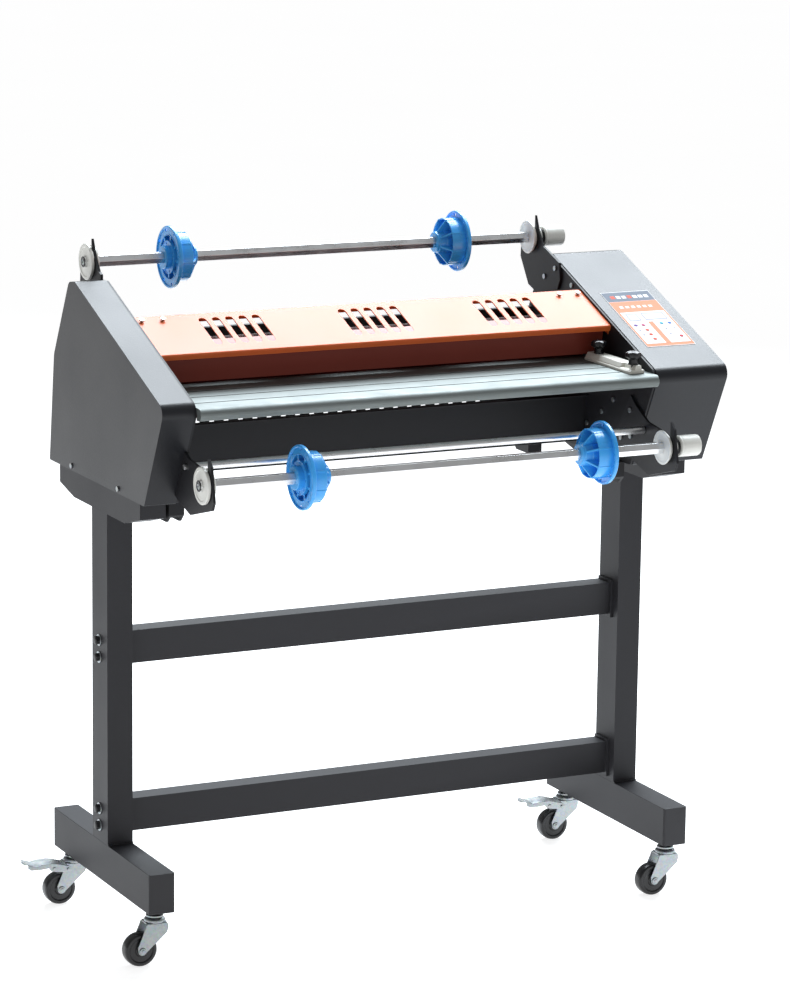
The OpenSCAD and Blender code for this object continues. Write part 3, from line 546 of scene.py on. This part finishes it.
# ---------------------------------------------------------------- spool discs and tension knobs
def spool_discs(node):
    """White turned discs that hold the shaft in its brackets: a pair on the left, a pair on the right."""
    lo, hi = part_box(node)
    at = middle(node)
    bore = hex_bore(BORE_LIMIT)
    bm = bmesh.new()
    left = frame_at((lo.x + 0.0075, at.y, at.z), (1, 0, 0))
    lathe(bm, left, [(9.5, -7.0), (13.5, -7.0), (14.2, -6.6), (21.5, -6.6), (22.2, -7.5), (26.0, -7.5),
                     (27.0, -6.6),
                     (27.0, -3.4), (26.2, -2.6), (12.0, -2.6), (12.0, 2.6), (22.6, 2.6), (24.0, 3.4),
                     (24.0, 5.6),
                     (23.0, 6.5), (14.0, 6.5), (13.4, 6.0), (9.5, 6.0)], 96, True, 0, bore)
    lathe(bm, left, [(18.2, -6.72), (19.0, -6.72), (19.0, -6.4), (18.2, -6.4)], 96, True, 0)
    right = frame_at((hi.x - 0.0042, at.y, at.z), (1, 0, 0))
    lathe(bm, right, [(9.5, -9.4), (12.6, -9.4), (13.4, -9.0), (21.0, -9.0), (21.8, -9.5), (24.6, -9.5),
                      (25.5, -8.9),
                      (25.5, -7.6), (24.6, -6.9), (19.0, -6.9), (19.0, -5.6), (21.2, -5.4), (22.0, -4.8),
                      (22.0, -3.2), (21.2, -2.6), (12.0, -2.6), (12.0, 4.2), (9.5, 4.2)],
          96, True, 0, bore)
    return make(node + "_turned", bm, body_of(node), [MATS["white_plastic"]], [node], 0.3)


def shaft_end(node, name):
    """Dark collar and a socket screw in the left end of a shaft."""
    lo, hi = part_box(node)
    at = middle(node)
    m = frame_at((lo.x, at.y, at.z), (-1, 0, 0))
    bm = bmesh.new()
    lathe(bm, m, [(5.4, -0.6), (8.2, -0.6), (8.2, 0.7), (7.6, 1.1), (5.6, 1.1)], 48, True, 0)
    lathe(bm, m, [(2.0, 0.2), (2.2, 1.5), (3.6, 1.5), (4.4, 0.9), (4.6, -0.4), (0.0, -0.4), (0.0, 0.2)], 48,
          False, 1)
    return make(name, bm, body_of(node), [MATS["black_plastic"], MATS["zinc"]], (), 0.12)


def tension_knob(node):
    """White tension knob: domed grip barrel, a black wound spring behind it, and a thrust washer."""
    lo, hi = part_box(node)
    at = middle(node)
    m = frame_at((lo.x - 0.0024, at.y, at.z), (1, 0, 0))
    bm = bmesh.new()
    lathe(bm, m, [(5.2, 2.4), (14.2, 2.4), (15.0, 3.0), (15.0, 4.4), (14.2, 5.0), (5.2, 5.0)], 72, True)
    lathe(bm, m, [(5.2, 11.0), (15.0, 11.0), (16.0, 12.2), (16.0, 14.6), (15.6, 15.0), (15.6, 15.8),
                  (16.0, 16.2),
                  (16.0, 43.0), (15.4, 44.9), (13.6, 46.0), (7.0, 46.0), (6.4, 45.4), (0.0, 45.4),
                  (0.0, 43.0),
                  (5.2, 42.4)], 72, True)
    for k in range(4):
        z = 5.9 + 1.5 * k
        ring = [(11.2 + 0.85 * math.cos(t),
                 z + 0.72 * math.sin(t)) for t in [math.tau * q / 8 for q in range(8)]]
        lathe(bm, m, ring, 60, True, 1)
    return make(node + "_turned", bm, body_of(node),
                [MATS["white_plastic"], MATS["black_plastic"]],
                [node], 0.3)


for spool in ("upper", "lower"):
    spool_discs(spool + "_spool_discs")
    shaft_end(spool + "_hex_shaft", spool + "_shaft_screw")
    tension_knob(spool + "_tension_knob")


# ---------------------------------------------------------------- side guide and its knobs
def side_guide():
    """Moulded paper guide: a low bar, a broad block under the rear knob, a narrow one under the front
    knob."""
    lo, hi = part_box("side_guide")
    w = (hi.x - lo.x) / MM
    length = (hi.y - lo.y) / MM
    top = (hi.z - lo.z) / MM
    m = frame_at((lo.x, lo.y, lo.z), (0, 1, 0), (1, 0, 0))
    # local X runs along +X and local Y points down, so heights are negative
    bm = bmesh.new()
    prism(bm, m, [(0, 0), (w, 0), (w, -4.6), (w - 0.8, -5.6), (2.6, -5.6), (0.0, -3.2)], 0.0, length)
    prism(bm, m, [(1.6, -5.0), (w - 0.4, -5.0), (w - 1.4, -top), (6.4, -top), (5.2, -top + 1.0)], 34.0,
          length)
    prism(bm, m, [(8.2, -5.0), (w - 4.2, -5.0), (w - 5.6, -top), (10.6, -top)], 0.5, 36.0)
    return make("side_guide_moulding", bm, "guide", [MATS["guide_plastic"]],
                ["side_guide"], 0.8, 3)


def guide_knob(node):
    """A black clamp knob: scalloped domed head on a tapering neck, with its stud."""
    lo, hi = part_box(node)
    at = middle(node)
    m = frame_at((at.x, at.y, lo.z), (0, 0, 1))
    top = (hi.z - lo.z) / MM
    base = 12.0
    radius = (hi.y - lo.y) / 2 / MM

    def lobed(a, r):
        """Six scallops that deepen towards the rim."""
        if r < 8.9:
            return r
        return r * (1.0 - 0.13 * (0.5 + 0.5 * math.cos(6 * a)) ** 2 * min(1.0, (r - 8.9) / 2.0))

    bm = bmesh.new()
    lathe(bm, m, [(0.0, 0.0), (2.9, 0.0), (2.9, base), (7.6, base), (7.9, base + 0.8), (7.0, base + 2.0),
                  (6.8, base + 7.6), (7.6, base + 9.0), (radius - 1.6, base + 10.4),
                  (radius - 0.2, base + 11.6),
                  (radius, base + 12.8), (radius - 0.1, base + 16.4), (radius - 0.8, base + 17.6),
                  (9.4, top - 1.2), (7.0, top - 0.3), (5.6, top), (3.6, top - 0.1), (3.1, top - 0.8),
                  (0.0, top - 0.8)], 96, False, 0, lobed)
    return make(node + "_lobed", bm, body_of(node), [MATS["black_plastic"]], [node], 0.25)


side_guide()
guide_knob("front_guide_knob")
guide_knob("rear_guide_knob")


# ---------------------------------------------------------------- control panel
# the slope of the side covers' tops, in mm
COVER_RISE = 134.0
COVER_RUN = 340.0


def control_panel():
    """A printed film on the right cover: header, band, white field, two displays, a divider and key dots."""
    lo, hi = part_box("control_panel")
    slope = math.atan2(COVER_RISE, COVER_RUN)
    along = Vector((0, -math.cos(slope), -math.sin(slope)))
    across = Vector((1, 0, 0))
    film = 0.0008
    length = ((hi.y - lo.y) - film * math.sin(slope)) / math.cos(slope)
    base = Vector((lo.x, hi.y, hi.z - film * math.cos(slope)))
    width = hi.x - lo.x
    # local Z runs into the cover, so heights above it are negative
    m = Matrix.Translation(base) @ Matrix((across, along, across.cross(along))).transposed().to_4x4()
    w = width / MM
    h = length / MM
    bm = bmesh.new()

    def field(u0, v0, u1, v1, z, mat, r=0.0):
        """A flat printed patch or a raised key at height z above the cover."""
        x0, x1, y0, y1 = u0 * w, u1 * w, v0 * h, v1 * h
        outline = [(x0, y0), (x1, y0), (x1, y1), (x0, y1)]
        if r > 0:
            outline = []
            for cx, cy, a0 in ((x1 - r, y0 + r, -90), (x1 - r, y1 - r, 0), (x0 + r, y1 - r, 90),
                               (x0 + r, y0 + r, 180)):
                for q in range(7):
                    a = math.radians(a0 + 15 * q)
                    outline.append((cx + r * math.cos(a), cy + r * math.sin(a)))
        prism(bm, m, outline, -z, -0.02, mat)

    field(0.0, 0.0, 1.0, 1.0, 0.40, 0, 1.2)
    field(0.012, 0.01, 0.988, 0.178, 0.46, 1)
    field(0.012, 0.182, 0.988, 0.99, 0.46, 2)
    field(0.050, 0.375, 0.955, 0.945, 0.52, 3, 1.6)
    field(0.445, 0.560, 0.545, 0.945, 0.58, 2)
    for k in range(7):
        u = 0.13 + 0.115 * k
        field(u, 0.075, u + 0.085, 0.125, 0.52, 8 if k in (0, 3) else 3)
    for k in range(6):
        u = 0.14 + 0.12 * k
        field(u, 0.262, u + 0.075, 0.302, 0.52, 3 if k in (0, 2) else 0)
    for u0, v0, u1, v1 in ((0.12, 0.405, 0.35, 0.535), (0.44, 0.405, 0.89, 0.530)):
        field(u0, v0, u1, v1, 0.60, 4, 1.4)
        field(u0 + 0.016, v0 + 0.010, u1 - 0.016, v1 - 0.010, 0.66, 5, 0.9)
    return m, w, h, bm


panel_m, panel_w, panel_h, panel_bm = control_panel()


def panel_keys():
    """Key dots and light windows of the panel, each a low domed disc in its own colour."""
    dots = [(0.145, 0.612, 6), (0.300, 0.614, 7), (0.295, 0.702, 8), (0.290, 0.782, 8), (0.290, 0.865, 8),
            (0.690, 0.600, 9), (0.852, 0.603, 10), (0.860, 0.842, 11), (0.145, 0.702, 4), (0.145, 0.785, 4),
            (0.690, 0.700, 4), (0.852, 0.700, 4), (0.690, 0.790, 4)]
    for u, v, mat in dots:
        origin = panel_m @ Vector((u * panel_w * MM, v * panel_h * MM, 0))
        axis = panel_m.to_3x3() @ Vector((0, 0, -1))
        m = frame_at(origin, axis, (1, 0, 0))
        size = 3.0 if mat != 4 else 1.3
        lathe(panel_bm, m, [(size, 0.2), (size, 0.72), (size * 0.85, 0.95), (size * 0.45, 1.08),
                            (0.0, 1.12)], 32, False, mat)


panel_keys()


def printed(name, *rgb):
    """Ink under a satin film."""
    return plastic("print_" + name + "_m", linear(*rgb), 0.60, wear=0.0, spec=0.10, grain=2500.0)


PRINTS = [printed("film", 214, 214, 212),
          printed("header", 104, 114, 128),
          printed("band", 232, 138, 104),
          printed("field", 228, 228, 230),
          printed("line", 146, 144, 176),
          printed("window", 206, 211, 220),
          printed("violet", 110, 72, 150),
          printed("magenta", 180, 52, 104),
          printed("vermilion", 222, 84, 58),
          printed("cyan", 54, 168, 204),
          printed("blue", 52, 102, 186),
          printed("red", 200, 36, 56)]
make("control_panel_film", panel_bm, "frame", PRINTS, ["control_panel"], 0.04, 1)


# ---------------------------------------------------------------- feed table
def along_x(origin):
    """A matrix whose local X runs along +Y, local Y along +Z and local Z along +X."""
    return Matrix.Translation(Vector(origin)) @ Matrix(((0, 1, 0), (0, 0, 1),
                                                        (1, 0, 0))).transposed().to_4x4()


def feed_table():
    """Anodised extrusion: full rounded nose, flat top with three undercut grooves whose walls and floors are
    painted dark as shade, a rib below each edge.
    """
    lo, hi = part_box("feed_table")
    deep = (hi.y - lo.y) / MM
    thick = (hi.z - lo.z) / MM
    wide = (hi.x - lo.x) / MM
    r = thick / 2
    outline = [(r + r * math.cos(math.radians(a)),
                -r + r * math.sin(math.radians(a))) for a in range(90, 271, 10)]
    outline += [(16.0, -thick), (16.0, -9.0), (deep - 8.0, -9.0), (deep - 8.0, -thick), (deep, -thick),
                (deep, 0.0)]
    mats = [0] * len(outline)
    # painted shade: material 1 on each groove's walls and floor darkens the recess where shade falls
    for y in (138.0, 94.0, 50.0):
        for dy, z, mat in ((1.8, 0.0, 1), (1.8, -3.0, 1), (3.5, -3.0, 1), (3.5, -6.0, 1), (-3.5, -6.0, 1),
                           (-3.5, -3.0, 1), (-1.8, -3.0, 1), (-1.8, 0.0, 0)):
            outline.append((y + dy, z))
            mats.append(mat)
    bm = bmesh.new()
    prism(bm, along_x((lo.x, lo.y, hi.z)), outline, 0.0, wide, 0, mats)
    # painted shade: a near-black copy of the table metal for the groove faces
    groove = metal("table_groove_painted_shade_m", (0.05, 0.055, 0.055, 1), 0.6, mottle=0.04)
    return make("feed_table_extrusion", bm, "frame", [MATS["table_aluminium"], groove],
                ["feed_table"], 0.25, 2, 40)


feed_table()


# ---------------------------------------------------------------- orange cover
# the slope of the orange cover, in mm, and its length along the slope
VENT_RISE = 42.2
VENT_RUN = 106.0
VENT_LENGTH = 112.0
# slots: half their width, the step between two, and the step between groups
SLOT_HALF = 6.0
SLOT_STEP = 21.2
GROUP_STEP = 224.5


def sheet(bm, m, xs, rows, thick, open_cell, height_at=None):
    """A bent sheet: rows are (y, z, ny, nz) of its outer face, open_cell(column, row) leaves a hole."""
    outer, inner = [], []
    for x in xs:
        line_out, line_in = [], []
        for k, (y, z, ny, nz) in enumerate(rows):
            yy = height_at(x, k, y) if height_at else y
            line_out.append(bm.verts.new(m @ Vector((x * MM, yy * MM, z * MM))))
            line_in.append(bm.verts.new(m @ Vector((x * MM, (yy - ny * thick) * MM,
                                                    (z - nz * thick) * MM))))
        outer.append(line_out)
        inner.append(line_in)
    cols, count = len(xs) - 1, len(rows) - 1

    def solid(c, k):
        """Whether there is a cell and it isn't open."""
        return 0 <= c < cols and 0 <= k < count and not open_cell(c, k)

    for c in range(cols):
        for k in range(count):
            if not solid(c, k):
                continue
            corner = [(c, k), (c + 1, k), (c + 1, k + 1), (c, k + 1)]
            for side in (outer, inner):
                add_face(bm, [side[a][b] for a, b in corner], 0)
            for q, (nc, nk) in enumerate(((c, k - 1), (c + 1, k), (c, k + 1), (c - 1, k))):
                if not solid(nc, nk):
                    (a, b), (d, e) = corner[q], corner[(q + 1) % 4]
                    add_face(bm, [outer[a][b], outer[d][e], inner[d][e], inner[a][b]], 0)


def vent_cover():
    """Bent orange sheet: rolled front lip, three groups of five slots, turned-down back and side flanges."""
    lo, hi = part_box("vent_cover")
    slope = math.atan2(VENT_RISE, VENT_RUN)
    length = VENT_LENGTH
    wide = (hi.x - lo.x) / MM
    m = Matrix.Translation((lo.x, hi.y - length * MM * math.cos(slope),
                            hi.z - length * MM * math.sin(slope)))
    m = m @ Matrix.Rotation(slope, 4, "X")
    r = 2.6
    rows = [(0.0, -9.0, -1, 0), (0.0, -r, -1, 0)]
    for k in range(1, 6):
        a = math.radians(18 * k)
        rows.append((r - r * math.cos(a), -r + r * math.sin(a), -math.cos(a), math.sin(a)))
    low_row = len(rows)
    rows += [(28.0, 0.0, 0, 1), (91.0, 0.0, 0, 1), (length - r, 0.0, 0, 1)]
    for k in range(1, 6):
        a = math.radians(18 * k)
        rows.append((length - r + r * math.sin(a), -r + r * math.cos(a), math.sin(a), math.cos(a)))
    rows.append((length, -14.0, 1, 0))
    slots = [wide / 2 + g * GROUP_STEP + (k - 2) * SLOT_STEP for g in (-1, 0, 1) for k in range(5)]
    half = SLOT_HALF
    xs = [0.0]
    for c in slots:
        xs += [c - half * math.cos(math.radians(15 * q)) for q in range(13)]
    xs.append(wide)
    holes = set()
    for c in range(len(xs) - 1):
        if any(abs((xs[c] + xs[c + 1]) / 2 - x) < half for x in slots):
            holes.add(c)

    def rounded(x, k, y):
        """Bends the rows at both ends of the slots into half circles."""
        if k not in (low_row, low_row + 1):
            return y
        near = min(abs(x - c) for c in slots)
        lift = math.sqrt(max(0.0, half * half - near * near)) if near < half else 0.0
        return y - lift if k == low_row else y + lift

    bm = bmesh.new()
    sheet(bm, m, xs, rows, 2.0, lambda c, k: c in holes and k == low_row, rounded)
    for x in (0.0, wide - 2.0):
        block(bm, m, (x, 2.2, -16.0), (x + 2.0, length - 2.2, -1.6))
    return make("vent_cover_sheet", bm, "frame", [MATS["orange_paint"]], ["vent_cover"],
                0.45, 2, 40)


vent_cover()


# ---------------------------------------------------------------- casters
# radius of a caster's swivel race
RACE_R = 0.017


def arc(cx, cy, r, a0, a1, steps):
    """Points on a circle from angle a0 to a1, in degrees."""
    return [(cx + r * math.cos(math.radians(a0 + (a1 - a0) * k / steps)),
             cy + r * math.sin(math.radians(a0 + (a1 - a0) * k / steps))) for k in range(steps + 1)]


def caster_centre(fork):
    """The stem's axis on the floor: the swivel race is the right end of the fork's box."""
    lo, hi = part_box(fork)
    return Vector((hi.x - RACE_R, (lo.y + hi.y) / 2, 0.0))


def caster_fork(node, braked):
    """Pressed zinc fork: domed ball race, folded top, two cheeks that narrow to the axle, rivet heads."""
    at = caster_centre(node)
    lo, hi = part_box(node)
    wheel = node.replace("fork", "wheel")
    hub_at = middle(wheel)
    wx = (hub_at.x - at.x) / MM
    wz = hub_at.z / MM
    m = frame_at((at.x, at.y, 0), (0, 1, 0), (1, 0, 0))
    # local X is +X and local Y is -Z in this frame, so heights are negated below
    bm = bmesh.new()
    half = 11.5
    bottom = [(x, -z) for x, z in arc(wx, wz, 6.6, 200, 335, 10)]
    cheek = [(-14.0, -65.8), (-17.4, -63.6), (-18.8, -59.0), (wx - 7.2, -(wz + 6.0))] + bottom
    cheek += [(14.6, -50.0), (16.8, -57.0), (16.6, -62.0), (13.6, -65.8)]
    for z0 in (-half - 2.0, half):
        prism(bm, m, cheek, z0, z0 + 2.0)
    up = frame_at(at, (0, 0, 1), (1, 0, 0))
    polar = [(8.5, 64.2), (13.6, 64.2), (15.6, 65.4), (16.0, 67.0), (15.4, 69.4), (13.6, 71.2),
             (10.4, 72.2), (4.5, 72.4),
             (4.5, 70.5), (8.5, 69.8)]
    lathe(bm, up, polar, 64, True)
    lathe(bm, up, [(13.2, 61.6), (14.8, 62.6), (15.0, 64.4), (8.6, 64.4), (8.6, 62.0)], 64, True)
    polar_plate(bm, up, [8.6, 13.4], 64.0, 66.0, 48, lambda k, i: True)
    for x0, x1 in ((-16.8, -8.7), (8.7, 15.4)):
        prism(bm, up, [(x0, -9.0), (x1, -9.0), (x1, 9.0), (x0, 9.0)], 64.0, 65.9)
    for s in (-1, 1):
        ys = sorted((s * 8.5, s * (half + 2.0)))
        prism(bm, up, [(-14.0, ys[0]), (13.6, ys[0]), (13.6, ys[1]), (-14.0, ys[1])], 64.0, 65.9)
    axle = frame_at((hub_at.x, at.y, hub_at.z), (0, 1, 0), (1, 0, 0))
    end = half + 4.4
    lathe(bm, axle, [(0.0, -end), (2.2, -end), (2.6, -end + 0.7), (4.6, -end + 0.7), (5.4, -end + 1.4),
                     (5.4, -half - 1.9),
                     (3.9, -half - 1.9), (3.9, half + 1.9), (5.4, half + 1.9), (5.4, end - 1.4),
                     (4.6, end - 0.7),
                     (2.6, end - 0.7), (2.2, end), (0.0, end)], 40)
    if braked:
        pin = frame_at((at.x - 0.014, at.y, 0.057), (0, 1, 0), (1, 0, 0))
        for s in (-1, 1):
            ends = sorted((s * (half + 1.0), s * (half + 6.0)))
            lathe(bm, pin, [(0.0, ends[0]), (2.4, ends[0]), (2.4, ends[1]), (0.0, ends[1])], 32)
    return make(node + "_pressed", bm, body_of(node), [MATS["zinc"]], [node], 0.5)


def caster_wheel(node):
    """Hard black wheel: crowned tread, dished web with a hub boss, moulding line."""
    lo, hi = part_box(node)
    m = frame_at(middle(node), (0, 1, 0), (1, 0, 0))
    r = (hi.z - lo.z) / 2 / MM
    h = 10.0
    half_profile = [(4.2, -h - 0.7), (8.4, -h - 0.7), (9.2, -h + 0.2), (10.0, -h + 1.6), (17.6, -h + 1.9),
                    (18.8, -h + 0.4),
                    (20.4, -h), (22.8, -h + 0.4), (24.2, -h + 2.0), (r - 0.15, -h + 4.6), (r, -h + 8.0)]
    profile = half_profile + [(a, -b) for a, b in reversed(half_profile)]
    bm = bmesh.new()
    lathe(bm, m, profile, 96, True)
    return make(node + "_moulded", bm, body_of(node), [MATS["caster_tread"]], [node], 0.3)


def caster_brake(node, fork):
    """Zinc brake pedal: two riveted ears and a broad bent tread with rounded corners."""
    at = caster_centre(fork)
    lo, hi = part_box(node)
    m = frame_at((at.x, at.y, 0), (0, 1, 0), (1, 0, 0))
    inner = 13.9
    bm = bmesh.new()
    ear = [(-10.0, -52.2), (-8.4, -57.5), (-12.6, -62.2), (-27.0, -66.0), (-40.0, -69.4), (-45.0, -66.0),
           (-45.5, -62.0),
           (-42.0, -57.0), (-36.0, -55.0), (-22.0, -53.2)]
    for z0 in (-inner - 1.9, inner):
        prism(bm, m, ear, z0, z0 + 1.9)
        rivet = frame_at((at.x - 37.0 * MM, at.y + (z0 + 0.95) * MM, 60.5 * MM), (0, 1, 0), (1, 0, 0))
        lathe(bm, rivet, [(0.0, -1.9), (2.0, -1.9), (2.9, -1.2), (2.9, 1.2), (2.0, 1.9), (0.0, 1.9)], 32)
    tread = [(-26.0, -66.4), (-40.0, -69.4), (-56.0, -68.8), (-66.0, -67.2), (-72.0, -68.6), (-80.0, -71.8),
             (-80.0, -69.8), (-72.0, -66.6), (-66.0, -65.2), (-56.0, -66.8), (-40.0, -67.4), (-26.0, -64.4)]
    prism(bm, m, tread, -inner - 1.9, inner + 1.9)
    flange = [(-26.0, -66.0), (-40.0, -69.0), (-56.0, -68.4), (-66.0, -66.8), (-72.0, -68.2),
              (-79.0, -70.8),
              (-79.6, -65.4), (-74.0, -61.6), (-58.0, -61.0), (-44.0, -62.0)]
    for z0 in (-inner - 2.0, inner + 0.4):
        prism(bm, m, flange, z0, z0 + 1.6)
    return make(node + "_pressed", bm, body_of(node), [MATS["zinc"]], [node], 0.6)


def caster_stems():
    """Threaded stems with their lock nuts, washers and a dark rubber dust ring."""
    bm = bmesh.new()
    for fork in ("front_left_fork", "front_right_fork", "rear_left_fork", "rear_right_fork"):
        up = frame_at(caster_centre(fork), (0, 0, 1), (1, 0, 0))
        foot_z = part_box("left_foot")[0].z / MM
        thread = [(0.0, 60.9), (6.2, 60.9), (6.4, 62.6), (3.9, 62.8), (3.9, 73.0), (13.0, 73.0),
                  (13.0, 75.2), (12.0, 76.0),
                  (5.0, 76.0)]
        z = 76.0
        while z < foot_z + 9.0:
            thread += [(5.0, z + 0.35), (4.45, z + 0.75)]
            z += 0.8
        thread += [(0.0, z)]
        lathe(bm, up, thread, 48)
        prism(bm, up, arc(0, 0, 8.7, 0, 300, 5), 76.3, foot_z - 0.1, 1)
        prism(bm, up, arc(0, 0, 8.5, 0, 300, 5), foot_z + 2.0, foot_z + 8.0, 1)
    return make("caster_stem_threads", bm, "frame", [MATS["zinc"], MATS["black_bolt"]],
                ["caster_stems"], 0.2)


for corner in ("front_left", "front_right", "rear_left", "rear_right"):
    caster_fork(corner + "_fork", corner.startswith("rear"))
    caster_wheel(corner + "_wheel")
for corner in ("rear_left", "rear_right"):
    caster_brake(corner + "_brake", corner + "_fork")
caster_stems()


# ---------------------------------------------------------------- bolts and screws
# how far a stretcher's bolts are in from its top and its bottom
BOLT_IN = 0.017


def hexagon(r, turn=0.0):
    """The corners of a hexagon."""
    return [(r * math.cos(math.radians(60 * k + turn)),
             r * math.sin(math.radians(60 * k + turn))) for k in range(6)]


def stretcher_bolts():
    """Hexagon-head bolts with bright washers through the posts, and their nuts inside."""
    lo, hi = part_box("stretcher_bolts")
    y = (lo.y + hi.y) / 2
    zs = []
    for node in ("lower_stretcher", "upper_stretcher"):
        a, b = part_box(node)
        zs += [b.z - BOLT_IN, a.z + BOLT_IN]
    bm = bmesh.new()
    for s, x in ((-1, lo.x), (1, hi.x)):
        face = x - s * 0.008
        for k, z in enumerate(zs):
            m = frame_at((face, y, z), (s, 0, 0))
            lathe(bm, m, [(4.3, 0.05), (8.6, 0.05), (9.0, 0.5), (8.8, 1.4), (4.3, 1.4)], 48, True, 1)
            prism(bm, m, hexagon(6.7, 17 * k), 1.4, 6.6, 0)
            lathe(bm, m, [(0.0, 6.0), (5.6, 6.2), (5.2, 7.4), (3.0, 8.0), (0.0, 8.0)], 36, False, 0)
            lathe(bm, m, [(0.0, -52.0), (3.6, -52.0), (4.0, -51.4), (4.0, 2.0), (0.0, 2.0)], 32, False, 1)
            prism(bm, m, hexagon(7.5, 11 * k), -51.0, -44.1, 0)
    return make("stretcher_bolt_set", bm, "frame", [MATS["black_bolt"], MATS["zinc"]],
                ["stretcher_bolts"], 0.4)


stretcher_bolts()


def weld_bead(name, node, foot):
    """A rippled weld bead round the foot of a post."""
    lo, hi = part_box(node)
    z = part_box(foot)[1].z
    bm = bmesh.new()
    xs, ys = (lo.x, hi.x), (lo.y, hi.y)
    step = 0.0011
    sides = [((xs[0], ys[0]), (xs[1], ys[0]), (0, -1)), ((xs[1], ys[1]), (xs[0], ys[1]), (0, 1))]
    for (ax, ay), (bx, by), out in sides:
        count = int(math.hypot(bx - ax, by - ay) / step)
        previous = None
        for k in range(count + 1):
            t = k / count
            x, y = ax + (bx - ax) * t, ay + (by - ay) * t
            fat = 0.0024 + 0.00035 * math.sin(k * 2.1) + 0.0002 * math.sin(k * 0.7)
            ring = []
            for q in range(5):
                a = math.radians(-4 + 98 * q / 4)
                ring.append(bm.verts.new((x + out[0] * fat * math.cos(a), y + out[1] * fat * math.cos(a),
                                          z + fat * math.sin(a))))
            ring.append(bm.verts.new((x - out[0] * 0.0004, y - out[1] * 0.0004, z - 0.0004)))
            if previous:
                for q in range(6):
                    r = (q + 1) % 6
                    add_face(bm, [previous[q], previous[r], ring[r], ring[q]], 0)
            else:
                add_face(bm, ring, 0)
            previous = ring
        add_face(bm, previous, 0)
    return make(name, bm, "frame", [MATS["stand_paint"]], (), 0)


weld_bead("left_post_weld", "left_post", "left_foot")
weld_bead("right_post_weld", "right_post", "right_foot")


# ---------------------------------------------------------------- floor, light, camera
FLOOR_GLOW = 0.80
WORLD_GLOW = 0.30
# the camera's place from the middle between the feet, its turn in degrees and its lens in mm
CAMERA_BACK = (2.5199, 5.2199)
CAMERA_HEIGHT = 1.8412
YAW_PITCH_ROLL = (26.064, -11.684, 0.733)
LENS = 143.25
# one large soft light, high behind the right end
KEY_AT = (1.30, 1.60, 3.09)
KEY_LOOK = (0.0, 0.0, 0.85)
KEY_SIZE = (3.4, 2.4)
KEY_WATTS = 300.0
KEY_COLOR = (0.87, 0.94, 1.0)


def make_floor():
    """A broad pale floor that fills the view."""
    bm = bmesh.new()
    bmesh.ops.create_grid(bm, x_segments=24, y_segments=24, size=60.0)
    mesh = bpy.data.meshes.new("studio_floor")
    bm.to_mesh(mesh)
    bm.free()
    floor = bpy.data.objects.new("studio_floor", mesh)
    bpy.context.scene.collection.objects.link(floor)
    g = Graph("studio_floor_m")
    cloud = g.noise(0.8, 3.0)
    g.set(Base_Color=g.mix(cloud, (0.62, 0.62, 0.625, 1), (0.66, 0.66, 0.66, 1)), Roughness=0.9)
    g.set(Specular_IOR_Level=0.0, Emission_Color=(1, 1, 1, 1), Emission_Strength=FLOOR_GLOW)
    mesh.materials.append(g.mat)


def softbox(name, at, look, size, watts, color):
    """A rectangular area light turned towards look."""
    data = bpy.data.lights.new(name, "AREA")
    data.shape = "RECTANGLE"
    data.size, data.size_y = size
    data.energy = watts
    data.color = color
    lamp = bpy.data.objects.new(name, data)
    bpy.context.scene.collection.objects.link(lamp)
    lamp.location = at
    lamp.rotation_euler = (Vector(look) - Vector(at)).to_track_quat("-Z", "Y").to_euler()


def make_world():
    """Even white surroundings."""
    world = bpy.data.worlds.new("studio")
    world.use_nodes = True
    tree = world.node_tree
    background = tree.nodes["Background"]
    background.inputs["Color"].default_value = (1.0, 1.0, 1.0, 1)
    background.inputs["Strength"].default_value = WORLD_GLOW
    bpy.context.scene.world = world


def make_camera():
    """The camera, placed from the feet so that it follows the frame."""
    feet = [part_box(n) for n in ("left_foot", "right_foot")]
    centre = (feet[0][0] + feet[1][1]) / 2
    spot = Vector((centre.x - CAMERA_BACK[0], centre.y - CAMERA_BACK[1], CAMERA_HEIGHT))
    yaw, pitch, roll = (math.radians(a) for a in YAW_PITCH_ROLL)
    ahead = Vector((math.sin(yaw) * math.cos(pitch), math.cos(yaw) * math.cos(pitch), math.sin(pitch)))
    side = Vector((math.cos(yaw), -math.sin(yaw), 0.0))
    above = side.cross(ahead)
    right = side * math.cos(roll) + above * math.sin(roll)
    up = above * math.cos(roll) - side * math.sin(roll)
    data = bpy.data.cameras.new("camera")
    data.lens = LENS
    data.sensor_width = 36.0
    camera = bpy.data.objects.new("camera", data)
    bpy.context.scene.collection.objects.link(camera)
    turn = Matrix((right, up, -ahead)).transposed().to_4x4()
    camera.matrix_world = Matrix.Translation(spot) @ turn
    data.clip_end = 200.0
    bpy.context.scene.camera = camera


make_floor()
make_world()
make_camera()
softbox("key", KEY_AT, KEY_LOOK, KEY_SIZE, KEY_WATTS, KEY_COLOR)
bpy.context.scene.view_settings.view_transform = "Standard"
